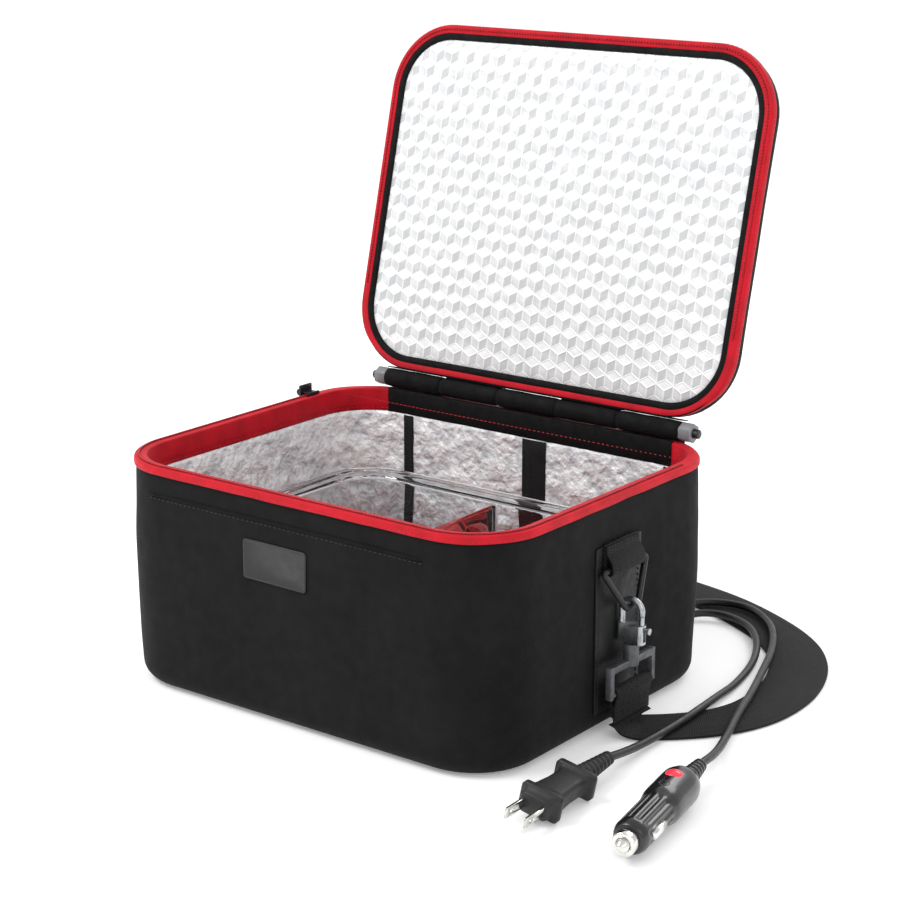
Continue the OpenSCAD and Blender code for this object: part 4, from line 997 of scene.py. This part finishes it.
class MakeFrontPocket(bpy.types.Operator):
    """Lays the front panel on the cover, with its stitched top edge and the blank patch."""

    bl_idname = "lunch_box.make_front_pocket"
    bl_label = "Front pocket and patch"

    def execute(self, context):
        front = SHELL_LOW[1]
        left, right, low, high = -118, 109, 40, 130
        columns, rows = 76, 26

        corner = sizes().corner_radius / MM

        def on_front(x, z, lift):
            bend = max(abs(x) - (BAG_PLAN_SIZE[0] / 2 - corner), 0)
            back = corner - math.sqrt(corner ** 2 - bend ** 2)
            return (x, front + back - swell(x, front, z) - lift, z)

        points = []
        for r in range(rows + 1):
            z = low + (high - low) * r / rows
            for c in range(columns + 1):
                x = left + (right - left) * c / columns
                lift = 0.9 * smooth_step(low, high - 14, z) * smooth_step(left, left + 30, x)
                lift *= 1 - smooth_step(right - 30, right, x)
                points.append(on_front(x, z, lift - 0.12))
        for r in range(rows + 1):
            z = low + (high - low) * r / rows
            points += [on_front(left + (right - left) * c / columns, z, -0.5) for c in range(columns + 1)]
        wide = columns + 1
        half = wide * (rows + 1)
        sheet = grid_faces(rows + 1, wide, closed=False)
        faces = sheet + [tuple(i + half for i in face[::-1]) for face in sheet]
        edge = list(range(wide)) + [r * wide + columns for r in range(1, rows + 1)]
        edge += [rows * wide + c for c in range(columns - 1, -1, -1)]
        edge += [r * wide for r in range(rows - 1, 0, -1)]
        faces += [(a, b, b + half, a + half) for a, b in zip(edge, edge[1:] + edge[:1])]
        piece("front_pocket_panel", points, faces, "cover", "bag", ["front_pocket"])
        def along_edge(down):
            return [on_front(left + 8 + (right - left - 16) * k / 60, high - down, 0.75) for k in range(61)]

        piece("pocket_seam", *swept(along_edge(1.2), circle(0.4, 8)), "cover", "bag", slot="cover_fabric")
        pellets("pocket_stitches", [along_edge(3.0)], sizes().stitch_pitch / MM, (2.5, 0.6, 0.6), "thread",
                "bag")

        # blank patch with a raised border: (outwards, height over the panel)
        plate = outline(LABEL_W, LABEL_H, 2.4, 5, 6)
        rings = [[on_front(LABEL_X + x + nx * out, LABEL_Z + y + ny * out, height) for x, y, nx, ny in plate]
                 for out, height in ((-0.4, 0.4), (0.0, 1.3), (-0.5, 1.9), (-1.5, 1.9), (-1.9, 1.5))]
        piece("blank_patch", *stacked(rings), "patch", "bag", ["label_patch"], "patch_plastic")
        return {"FINISHED"}


class MakeLining(bpy.types.Operator):
    """Presses the crinkled silver lining into the bag, and sews the straps down its walls."""

    bl_idname = "lunch_box.make_lining"
    bl_label = "Lining and straps"

    def execute(self, context):
        plan = bag_plan(14, 42)
        deep = sizes().foil_crinkle / MM

        def crinkle(x, y, z):
            place = Vector((x, y, z))
            sharp = 1 - abs(noise.noise(place / 17)) * 2.2
            fine = 1 - abs(noise.noise(place / 7 + Vector((9, 4, 2)))) * 2.2
            return deep * max(0, min(1, 0.25 + 0.45 * sharp + 0.3 * fine - 0.15))

        def crinkled(outward, z, scale=1.0, down=False):
            points = []
            for x, y, nx, ny in plan:
                px, py = (x + nx * outward) * scale, (y + ny * outward) * scale
                fold = crinkle(px, py, z)
                if down:
                    points.append((px, py, z - 0.6 * fold))
                else:
                    points.append((px - nx * fold, py - ny * fold, z))
            return points

        rings = [ring(plan, -WALL + 0.7, LINER_TOP, False)]
        rings += [crinkled(-WALL, LINER_TOP - (LINER_TOP - LINER_FLOOR - 4) * k / 40) for k in range(41)]
        rings.append(crinkled(-WALL - 0.8, LINER_FLOOR + 1.4))
        rings.append(crinkled(-WALL - 2.6, LINER_FLOOR + 0.2, down=True))
        rings += [crinkled(-WALL - 4, LINER_FLOOR, scale, True) for scale in
                  (1, 0.96, 0.9, 0.84, 0.77, 0.7, 0.62, 0.54, 0.46, 0.38, 0.3, 0.22, 0.14, 0.06)]
        inside = len(rings)
        rings.append(ring(plan, -WALL - 3, LINER_FLOOR - 0.75, False))
        rings.append(ring(plan, -WALL + 0.7, LINER_FLOOR, False))
        points, faces = stacked(rings)
        count = len(plan)
        middle = (inside - 1) * count
        # the floor's middle closes flat, and the outside is a wall of its own
        faces = [f for f in faces if not (len(f) == 4 and middle <= f[0] < middle + count)][:-2]
        faces.append(list(range(middle, middle + count)))
        faces.append(list(range(inside * count, (inside + 1) * count))[::-1])
        outer = (inside + 1) * count
        faces += [(c, (c + 1) % count, outer + (c + 1) % count, outer + c) for c in range(count)]
        piece("silver_lining", points, faces, "foil", "bag", ["foil_liner"], "foil")

        # two straps down the back wall, and one in the round corner, 14 degrees round
        def strap(x, y, width, turn):
            path = [(x, y, STRAP_LOW + STRAP_RUN * k / 12) for k in range(13)]
            return path, width, 1.4, lambda i: (math.cos(turn), -math.sin(turn), 0)

        corner = sizes().corner_radius / MM
        round_wall = corner - WALL - 0.9
        half_l, half_w = BAG_PLAN_SIZE[0] / 2, BAG_PLAN_SIZE[1] / 2
        turn = math.radians(14)
        runs = [strap(-99, half_w - WALL - 0.8, 8, 0), strap(8, half_w - WALL - 0.8, 19, 0),
                strap(half_l - corner + round_wall * math.sin(turn),
                      half_w - corner + round_wall * math.cos(turn), 8, turn)]
        webbing_piece("lining_straps", runs, "bag", ["liner_straps"], "webbing")
        return {"FINISHED"}


def webbing_piece(name, runs, body, replaces, slot=None):
    """Bands of webbing (path, width, thickness, side direction) as one piece, with UVs in metres."""
    points, faces, uv = [], [], []
    for path, width, thick, level in runs:
        profile = soft_bar(width, thick)
        some, some_faces = swept(path, profile, level=level)
        faces += [[i + len(points) for i in face] for face in some_faces]
        points += some
        along = 0
        for i, place in enumerate(path):
            along += (Vector(place) - Vector(path[i - 1])).length * MM if i else 0
            uv += [(along, side * MM) for side, _ in profile]
    made = piece(name, points, faces, "webbing", body, replaces, slot)
    layer = made.data.uv_layers.new(name="length")
    for loop in made.data.loops:
        layer.data[loop.index].uv = uv[loop.vertex_index]
    return made


class MakeRim(bpy.types.Operator):
    """Binds the rim with red tape inside and out, sews it, and sets the lower half of the zip on it."""

    bl_idname = "lunch_box.make_rim"
    bl_label = "Rim tape and lower zip"

    def execute(self, context):
        plan = bag_plan(16, 40)

        def profile(x, y):
            skirt = 1 - smooth_step(TAPE_END_Y, TAPE_END_Y + 14, y)
            out = 0.1 + 1.25 * skirt
            lift = 0.35 * noise.noise(Vector((x, y, 0)) / 24)
            low = RIM_TOP - (TAPE_H + 0.2) * skirt - 2.9 * (1 - skirt) + lift
            wave = 0.3 * noise.noise(Vector((x, y, 70)) / 18)
            return [(out + wave, low), (out + 0.12 + wave, low + 0.8), (out + wave, RIM_TOP - 1.2),
                    (out - 0.45, RIM_TOP - 0.3), (out - 1.2, RIM_TOP), (-WALL + 0.8, RIM_TOP),
                    (-WALL + 0.15, RIM_TOP - 0.3), (-WALL - 0.1, RIM_TOP - 1),
                    (-WALL - 0.25 + wave, LINER_TOP + 6), (-WALL - 0.2, LINER_TOP + 0.4 + lift),
                    (-WALL + 0.3, LINER_TOP + lift), (-WALL + 0.75, LINER_TOP + 1),
                    (-WALL + 0.8, RIM_TOP - 3.2), (-0.6, RIM_TOP - 3.2), (-0.2, low + 0.2)]

        piece("rim_binding", *round_band(plan, profile), "tape", "bag", ["rim_tape"])
        out, z = 1.42, RIM_TOP - TAPE_H + 1.1
        outer_seam = [(x + nx * out, y + ny * out, z) for x, y, nx, ny in plan if y < TAPE_END_Y]
        out, z = -WALL - 0.34, LINER_TOP + 2.2
        inner_seam = [(x + nx * out, y + ny * out, z) for x, y, nx, ny in plan + plan[:1]]
        pellets("rim_stitches", [outer_seam, inner_seam], sizes().stitch_pitch / MM, (2.5, 0.5, 0.5),
                "red_thread", "bag")
        chain = [(x - nx * 1.75, y - ny * 1.75, RIM_TOP + 0.62) for x, y, nx, ny in plan if y < ZIP_END_Y]
        pellets("lower_zip_teeth", [chain], sizes().tooth_pitch / MM, (1.5, 1.9, 1.25), "coil", "bag",
                ["lower_zip_chain"])
        piece("lower_zip_cord", *swept(chain, circle(0.5, 8)), "coil", "bag", slot="zip_chain")
        return {"FINISHED"}


# ---------- lid, in its closed place and then turned open ----------
HINGE_Y, HINGE_Z = 121, 154
LID_OPEN = 104
LID_TURN = (Matrix.Translation((0, HINGE_Y, HINGE_Z)) @ Matrix.Rotation(math.radians(-LID_OPEN), 4, "X")
            @ Matrix.Translation((0, -HINGE_Y, -HINGE_Z)))
LID_Z = 150.05
LID_THICK = 24
LID_W, LID_Y = 237.6, -5.2
LID_EDGE_R = 17
TAPE_H = 4.8                        # how far the red tape reaches over each edge
LID_BACK = LID_Y + LID_W / 2


def opened(points):
    return [LID_TURN @ Vector(p) for p in points]


def lid_plan(per_corner=14, per_side=30):
    plan = outline(BAG_PLAN_SIZE[0], LID_W, sizes().corner_radius / MM, per_corner, per_side)
    return [(x, y + LID_Y, nx, ny) for x, y, nx, ny in plan]


class MakeLid(bpy.types.Operator):
    """Builds the padded lid: crowned cover, black binding, red tape, embossed foil and the upper zip."""

    bl_idname = "lunch_box.make_lid"
    bl_label = "Lid"

    def execute(self, context):
        self.make_shell()
        self.make_panel()
        self.make_edges()
        return {"FINISHED"}

    def make_shell(self):
        plan = lid_plan()
        crown = sizes().lid_crown / MM
        top = LID_Z + LID_THICK

        def level(outward, z, scale=1.0):
            points = []
            for x, y, nx, ny in plan:
                px, py = (x + nx * outward) * scale, (y - LID_Y + ny * outward) * scale
                near = max(0, 1 - (px / 139) ** 2) * max(0, 1 - (py / 108) ** 2)
                wave = 0.5 * noise.noise(Vector((px, py, z)) / 44) if z > LID_Z + 6 else 0
                rise = crown * math.sqrt(near) + wave if scale < 1 or outward < -8 else 0
                out = wave * 0.8
                points.append((px + nx * out, py + ny * out + LID_Y, z + rise))
            return points

        rings = [level(-CLOTH, LID_Z + 6), level(-CLOTH, LID_Z + 0.3), level(-0.6, LID_Z)]
        rings.append(level(0, LID_Z + 0.4))
        rings += [level(0, LID_Z + 1 + (LID_THICK - LID_EDGE_R - 1) * k / 4) for k in range(5)]
        for k in range(1, 9):
            a = math.radians(90 * k / 8)
            rings.append(level(-LID_EDGE_R * (1 - math.cos(a)), top - LID_EDGE_R * (1 - math.sin(a))))
        rings += [level(-LID_EDGE_R, top, scale) for scale in
                  (0.97, 0.93, 0.88, 0.82, 0.75, 0.67, 0.58, 0.49, 0.4, 0.31, 0.22, 0.13, 0.05)]
        points, faces = stacked(rings)
        made = piece("lid_cover", opened(points), faces, "cover", "lid", ["lid_shell"])

    def make_panel(self):
        plan = lid_plan(12, 24)
        rings = []
        for outward, up in ((-8, 2.9), (-8, 2.0), (-9.2, 1.3), (-11, 0.9), (-14, 0.6)):
            rings.append([(x + nx * outward, y + ny * outward, LID_Z + up) for x, y, nx, ny in plan])
        for scale in (0.96, 0.9, 0.82, 0.74, 0.65, 0.56, 0.47, 0.38, 0.29, 0.2, 0.11, 0.04):
            puff = 1.3 * (1 - scale ** 2)
            rings.append([((x - nx * 14) * scale, (y - LID_Y - ny * 14) * scale + LID_Y,
                           LID_Z + 0.6 - puff + 0.35 * noise.noise(Vector((x * scale, y * scale, 5)) / 30))
                          for x, y, nx, ny in plan])
        points, faces = stacked(rings)
        made = piece("lid_foil", opened(points), faces, "lid_foil", "lid", ["lid_foil_panel"], "foil")
        layer = made.data.uv_layers.new(name="panel")
        for loop in made.data.loops:
            x, y, _ = points[loop.vertex_index]
            layer.data[loop.index].uv = (x * MM, y * MM)

    def make_edges(self):
        plan = lid_plan(16, 40)

        def wave(x, y, size):
            return size * noise.noise(Vector((x, y, 33)) / 22)

        def binding(x, y):
            lift = wave(x, y, 0.3)
            return [(-6.4 + 2.7 * math.cos(a), LID_Z + 1.5 + lift + 1.9 * math.sin(a))
                    for a in [2 * math.pi * k / 12 for k in range(12)]]

        points, faces = round_band(plan, binding)
        piece("lid_piping", opened(points), faces, "binding", "lid", ["lid_binding"], "webbing")

        def tape(x, y):
            skirt = 1 - smooth_step(LID_BACK - 24, LID_BACK - 8, y)
            out = 0.1 + 1.25 * skirt
            high = LID_Z + (TAPE_H + 0.3) * skirt + 3.0 * (1 - skirt) + wave(x, y, 0.3)
            return [(out, high), (out + 0.1, high - 0.8), (out, LID_Z + 1.2), (out - 0.5, LID_Z + 0.2),
                    (out - 1.3, LID_Z - 0.1), (-4.2, LID_Z - 0.05), (-4.8, LID_Z + 0.5), (-4.2, LID_Z + 1),
                    (-1, LID_Z + 1), (-0.3, LID_Z + 1.6), (-0.2, high - 0.3)]

        points, faces = round_band(plan, tape)
        piece("lid_red_tape", opened(points), faces, "tape", "lid", ["lid_zip_tape"])
        seam = opened([(x + nx * 1.4, y + ny * 1.4, LID_Z + TAPE_H - 1.2)
                       for x, y, nx, ny in plan if y < LID_BACK - 24])
        pellets("lid_stitches", [seam], sizes().stitch_pitch / MM, (2.5, 0.5, 0.5), "red_thread", "lid")
        last_y = ZIP_END_Y - 18
        chain = opened([(x - nx * 1.75, y - ny * 1.75, LID_Z - 0.65) for x, y, nx, ny in plan if y < last_y])
        pellets("upper_zip_teeth", [chain], sizes().tooth_pitch / MM, (1.5, 1.9, 1.25), "coil", "lid",
                ["upper_zip_chain"])


class MakeHinge(bpy.types.Operator):
    """Rolls the cloth runs round the hinge's rod and fits the rod and its hexagonal caps."""

    bl_idname = "lunch_box.make_hinge"
    bl_label = "Hinge"

    def execute(self, context):
        low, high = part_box("hinge_sleeve")
        length = (high[0] - low[0]) / MM
        gap = 0.6
        pitch = (length + gap) / 5
        roll = 6.4                           # radius of the cloth round the rod
        flap_out, flap_in, flap_foot = 125.2, 124.1, 118
        bag_runs, lid_runs = [], []
        for k in range(5):
            start = -length / 2 + k * pitch
            run = pitch - gap
            rows, steps = [], 14
            for i in range(steps + 1):
                x = start + run * i / steps
                edge = 0.35 if i in (0, steps) else 0
                if k % 2 == 0:
                    section = [(flap_out - edge, flap_foot + 6 * j) for j in range(6)]
                    first, last = -49, 297
                else:
                    section = [(LID_BACK + 1.3, 159.8), (LID_BACK + 1.4, 159), (LID_BACK + 1.3, 158)]
                    first, last = 172, -188
                for j in range(25):
                    a = math.radians(first + (last - first) * j / 24)
                    place = Vector((x, 8 * math.cos(a), 8 * math.sin(a) + 60 * k))
                    r = roll - edge + 0.22 * noise.noise(place / 9)
                    section.append((HINGE_Y + r * math.cos(a), HINGE_Z + r * math.sin(a)))
                if k % 2 == 0:
                    section += [(flap_in + edge / 3, flap_foot + 28 - 7 * j) for j in range(5)]
                else:
                    section += [(LID_BACK + 0.1, 157), (LID_BACK + 0.1, 158), (LID_BACK + 0.3, 159.8)]
                rows += [(x, y, z) for y, z in section]
            faces = tube_faces(steps + 1, len(rows) // (steps + 1))
            if k % 2 == 0:
                bag_runs.append((rows, faces))
            else:
                lid_runs.append((opened(rows), faces))
        bag_runs.append(self.tape_inside(length / 2))
        # a strip along the lid's back closes the gap to the roll
        back = LID_BACK + 0.35
        ends = [(x, back, LID_Z + 5) for x in (-length / 2, length / 2)]
        strip, sides = swept(ends, soft_bar(0.65, 9))
        lid_runs.append((opened(strip), sides))
        joined("hinge_runs_on_bag", bag_runs, "binding", "bag", ["hinge_sleeve"])
        joined("hinge_runs_on_lid", lid_runs, "binding", "lid", ["lid_hinge_loops"])
        seams = [[(-length / 2 + k * pitch + x, flap_out + 0.15, flap_foot + up) for x in (2, pitch - gap - 2)]
                 for k in (0, 2, 4) for up in (3, 20)]
        pellets("hinge_stitches", seams, sizes().stitch_pitch / MM, (2.5, 0.5, 0.5), "thread", "bag")
        copy_of("hinge_rod", "hinge_pin", "acetal", 0.6, 3)
        copy_of("hinge_end_caps", "hexagonal_caps", "nylon", 0.7, 3)
        return {"FINISHED"}

    def tape_inside(self, reach):
        """Black tape that comes from under the roll and hides the red facing behind it."""
        plan = sorted(p for p in bag_plan(16, 40) if p[1] > 0 and abs(p[0]) <= reach + 0.5)
        section = [(-5.5, RIM_TOP + 0.6), (-7.4, RIM_TOP + 0.4), (-8.1, RIM_TOP - 0.8),
                   (-8.1, RIM_TOP - 7), (-8.0, LINER_TOP + 0.2), (-7.6, LINER_TOP - 0.2),
                   (-7.1, LINER_TOP + 0.2), (-7.1, RIM_TOP - 2), (-5.5, RIM_TOP - 0.2)]
        rows = [(x + nx * out, y + ny * out, z) for x, y, nx, ny in plan for out, z in section]
        return rows, tube_faces(len(plan), len(section))


# ---------- heating tray and dish ----------
class MakeTray(bpy.types.Operator):
    """Gives the lift-out heating tray its moulded edges, plate, sockets and feet."""

    bl_idname = "lunch_box.make_tray"
    bl_label = "Heating tray"

    def execute(self, context):
        copy_of("tray_housing", "tray_moulding", "abs", 0.9, 3)
        copy_of("heating_plate", "coated_plate", "plate", 0.7, 3)
        copy_of("tray_base_cover", "tray_underside", "abs", 0.3)
        copy_of("ac_inlet", "figure8_inlet", "inlet", 0.5, 3)
        copy_of("dc_jack", "round_jack", "inlet", 0.3)
        copy_of("inlet_metal", "inlet_pins_and_ring", "nickel", 0.35, 3)
        copy_of("tray_feet", "rubber_feet", "silicone", 0.8, 3)
        copy_of("tray_screws", "cross_head_screws", "satin", 0.4)
        return {"FINISHED"}


class MakeDish(bpy.types.Operator):
    """Rounds the rim and edges of the divided glass dish."""

    bl_idname = "lunch_box.make_dish"
    bl_label = "Glass dish"

    def execute(self, context):
        copy_of("glass_dish", "divided_glass_dish", "glass", 1.6, 4, 50)
        return {"FINISHED"}


# ---------- side tabs and clips ----------
TAB_LOOP_W = 35
WEB_W = 38
WEB_T = 1.6
PATCH_T = 1.6
RING_X = SHELL_HIGH[0] + PATCH_T + 3.9
RING_Z = 104
RING_DROP, RING_LEAN = 26, math.radians(13)
RING_TOP, RING_FOOT = 23, 6.5       # half lengths of the ring's bars
HOOK_X = RING_X + RING_DROP * math.sin(RING_LEAN)
BAR_Z = 28
STRAP_END_Z = 9.5


def side_of(side, points):
    return [(side * x, y, z) for x, y, z in points]


def rounded_loop(corners, radius):
    """Closed path through corners, each one rounded."""
    path, steps = [], 5
    for i, corner in enumerate(corners):
        corner = Vector(corner)
        before = (Vector(corners[i - 1]) - corner).normalized()
        after = (Vector(corners[(i + 1) % len(corners)]) - corner).normalized()
        start, end = corner + before * radius, corner + after * radius
        for k in range(steps + 1):
            t = k / steps
            path.append(start * (1 - t) ** 2 + corner * (2 * t * (1 - t)) + end * t * t)
    return path


class MakeSideTabs(bpy.types.Operator):
    """Sews the vinyl patches and the webbing loops that hold the rings to the bag's sides."""

    bl_idname = "lunch_box.make_side_tabs"
    bl_label = "Side patches and loops"

    def execute(self, context):
        copy_of("side_patches", "side_patch_cloth", "vinyl", 0.6, 3)
        low, high = [[v / MM for v in corner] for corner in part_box("side_patches")]
        edge = 3.2
        seams, loops, loop_seams = [], [], []
        for side in (-1, 1):
            x = SHELL_HIGH[0] + PATCH_T + 0.1
            front, back, foot, head = low[1] + edge, high[1] - edge, low[2] + edge, high[2] - edge
            seams.append(side_of(side, [(x, front, foot), (x, back, foot), (x, back, head),
                                        (x, front, head), (x, front, foot)]))
            wall = SHELL_HIGH[0] + PATCH_T + 0.7
            path = [(wall, TAB_Y, RING_Z + 15.5 - k * 1.9) for k in range(8)]
            path += [(RING_X - 3.1 * math.cos(t), TAB_Y, RING_Z - 3.1 * math.sin(t))
                     for t in [math.pi * k / 12 for k in range(13)]]
            path += [(RING_X + 2.9, TAB_Y, RING_Z + 2.4), (RING_X + 2.0, TAB_Y, RING_Z + 5),
                     (RING_X + 0.2, TAB_Y, RING_Z + 7.6), (wall + 1.7, TAB_Y, RING_Z + 9.6),
                     (wall + 1.4, TAB_Y, RING_Z + 12), (wall + 1.35, TAB_Y, RING_Z + 14.5)]
            loops.append((side_of(side, path), TAB_LOOP_W, 1.3, lambda i: (0, 1, 0)))
            loop_seams += [side_of(side, [(wall + 2.1, TAB_Y + y, RING_Z + up) for y in (-15.5, 15.5)])
                           for up in (10.5, 14)]
        pitch = sizes().stitch_pitch / MM
        pellets("side_patch_stitches", seams, pitch, (2.6, 0.6, 0.6), "thread", "bag")
        webbing_piece("ring_loops", loops, "bag", ["tab_loops"])
        pellets("ring_loop_stitches", loop_seams, pitch * 0.8, (2.2, 0.6, 0.6), "thread", "bag")
        return {"FINISHED"}


class MakeClips(bpy.types.Operator):
    """Bends the three-cornered rings and finishes the snap hooks, strap rings and sewn strap ends."""

    bl_idname = "lunch_box.make_clips"
    bl_label = "Rings, hooks and strap ends"

    def execute(self, context):
        for side, name in ((1, "right"), (-1, "left")):
            self.make_side(side, name)
        return {"FINISHED"}

    def make_side(self, side, name):
        body = name + "_clip"
        foot_z = RING_Z - RING_DROP * math.cos(RING_LEAN)
        corners = [(RING_X, TAB_Y - RING_TOP, RING_Z), (RING_X, TAB_Y + RING_TOP, RING_Z),
                   (HOOK_X, TAB_Y + RING_FOOT, foot_z), (HOOK_X, TAB_Y - RING_FOOT, foot_z)]
        path = side_of(side, rounded_loop(corners, 3.0))
        lean = Vector((side * math.cos(RING_LEAN), 0, math.sin(RING_LEAN)))
        points, faces = swept(path, circle(2, 12), closed=True, level=lambda i: lean)
        piece("d_shaped_ring_" + name, points, faces, "enamel", body, ["d_ring_" + name])
        copy_of("snap_hook_" + name, "swivel_hook_" + name, "satin", 0.5, 3)
        copy_of("hook_bolt_" + name, "hook_thumb_bolt_" + name, "satin", 0.3)
        copy_of("strap_ring_" + name, "swivel_strap_ring_" + name, "gunmetal", 0.6, 3)

        fold = [(HOOK_X + 0.9, TAB_Y, STRAP_END_Z + 0.4 + k * 2.4) for k in range(5)]
        fold += [(HOOK_X + 3.35 * math.cos(t), TAB_Y, BAR_Z + 3.35 * math.sin(t))
                 for t in [math.radians(-40 + 260 * k / 14) for k in range(15)]]
        fold += [(HOOK_X - 0.9, TAB_Y, BAR_Z - 7.5 - k * 2.4) for k in range(4)]
        run = (side_of(side, fold), WEB_W, 1.5, lambda i: (0, 1, 0))
        webbing_piece("sewn_strap_end_" + name, [run], body, ["strap_end_" + name])
        seams = []
        for z in (STRAP_END_Z + 2.2, STRAP_END_Z + 8.2):
            for x in (HOOK_X + 1.75, HOOK_X - 1.75):
                seams.append(side_of(side, [(x, TAB_Y - 16, z), (x, TAB_Y + 16, z)]))
        pellets("strap_end_stitches_" + name, seams, sizes().stitch_pitch / MM * 0.8, (2.2, 0.6, 0.6),
                "thread", body)


# The strap follows the route of its solid: the same points, in millimetres.
STRAP_ROUTE = [(161.6, 2, 9.2), (162, 2.2, 5), (165, 4, 1.6), (172, 10, 1.1), (183, 20, 1.1),
               (195, 34, 1.1), (205, 52, 1.1), (210.5, 75, 1.1), (209.5, 106, 1.1), (200.5, 138, 1.1),
               (186.5, 164, 1.1), (167, 186, 1.1), (138, 206, 1.1), (95, 226, 1.1), (50, 237, 1.1),
               (14, 240, 1.1), (10.5, 240, 1.2), (2.8, 240, 5.6), (0, 240, 5.8), (-2.8, 240, 5.6),
               (-10.5, 240, 1.2), (-14, 240, 1.1), (-60, 240, 1.1), (-110, 234, 1.1), (-165, 212, 1.1),
               (-207, 172, 1.1), (-228, 122, 1.1), (-228, 72, 1.1), (-212, 32, 1.1), (-188, 8, 1.1),
               (-173, 2.4, 1.1), (-165.5, 2, 1.6), (-162, 2, 5), (-161.6, 2, 9.2)]
STRAP_EASE = 16                      # rings over which the webbing turns from hanging to lying


class MakeStrap(bpy.types.Operator):
    """Lays the webbing strap on the floor round the bag, through its three-bar slide."""

    bl_idname = "lunch_box.make_strap"
    bl_label = "Shoulder strap"

    def execute(self, context):
        steps = 6
        path = spline(STRAP_ROUTE, steps)
        count = len(path)

        def level(i):
            ahead = path[min(i + 1, count - 1)] - path[max(i - 1, 0)]
            turned = min(min(i, count - 1 - i) / STRAP_EASE, 1)
            flat = Vector((ahead.y, -ahead.x, 0)).normalized()
            return (Vector((0, -1, 0)) * (1 - turned) + flat * turned).normalized()

        # the stretch in the slide stays with the bag; each end bends up from the floor to its clip
        first, last = (STRAP_ROUTE.index(place) * steps for place in ((10.5, 240, 1.2), (-10.5, 240, 1.2)))
        for name, begin, end in (("middle", first, last + 1), ("right", 0, first + 1), ("left", last, count)):
            run = (path[begin:end], WEB_W, WEB_T, lambda i, begin=begin: level(i + begin))
            body = "bag" if name == "middle" else None
            made = webbing_piece("shoulder_strap_" + name, [run], body, ["shoulder_strap"], "webbing")
            if name != "middle":
                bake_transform(made)
        copy_of("strap_adjuster", "three_bar_slide", "acetal", 0.6, 3)
        return {"FINISHED"}


class MakeZipSlider(bpy.types.Operator):
    """Finishes the zip's slider and its pull."""

    bl_idname = "lunch_box.make_zip_slider"
    bl_label = "Zip slider and pull"

    def execute(self, context):
        copy_of("zip_slider", "enamelled_slider", "enamel", 0.35, 3)
        copy_of("zip_pull", "enamelled_pull", "enamel", 0.3, 3)
        return {"FINISHED"}


# CAD nodes that stay as they are, and their finishes: all are covered by other pieces.
INNER_PARTS = {
    "wall_insulation": "foam", "base_board": "board", "lid_foam": "foam", "heating_element": "copper",
    "insulation_pad": "mineral", "tray_components": "board_green", "tray_wiring": "wire",
}


class MakeInnerParts(bpy.types.Operator):
    """Gives the foam, boards, heating element and wiring inside their own materials."""

    bl_idname = "lunch_box.make_inner_parts"
    bl_label = "Parts inside"

    def execute(self, context):
        for node, name in INNER_PARTS.items():
            for slot in frame["nodes"][node].material_slots:
                slot.material = finish(name)
        return {"FINISHED"}


# ---------- add-on ----------
OPERATORS = (MakeStage, MakePlugs, MakeLeads, MakeCover, MakeFrontPocket, MakeLining, MakeRim, MakeLid,
             MakeHinge, MakeTray, MakeDish, MakeSideTabs, MakeClips, MakeStrap, MakeZipSlider, MakeInnerParts)


class LunchBoxPanel(bpy.types.Panel):
    """Lists the settings and the pieces."""

    bl_idname = "VIEW3D_PT_lunch_box"
    bl_label = "Electric lunch box"
    bl_space_type = "VIEW_3D"
    bl_region_type = "UI"
    bl_category = "Lunch box"

    def draw(self, context):
        for group in (context.scene.lunch_box_sizes, context.scene.lunch_box_colours):
            for name in type(group).__annotations__:
                self.layout.prop(group, name)
        for kind in OPERATORS:
            self.layout.operator(kind.bl_idname)


CLASSES = (LunchBoxSizes, LunchBoxColours) + OPERATORS + (LunchBoxPanel,)


def register():
    for kind in CLASSES:
        bpy.utils.register_class(kind)
    bpy.types.Scene.lunch_box_sizes = bpy.props.PointerProperty(type=LunchBoxSizes)
    bpy.types.Scene.lunch_box_colours = bpy.props.PointerProperty(type=LunchBoxColours)


def unregister():
    del bpy.types.Scene.lunch_box_colours
    del bpy.types.Scene.lunch_box_sizes
    for kind in reversed(CLASSES):
        bpy.utils.unregister_class(kind)


def main():
    register()
    make_materials()
    for kind in OPERATORS:
        group, name = kind.bl_idname.split(".")
        getattr(getattr(bpy.ops, group), name)()


if __name__ == "__main__":
    main()
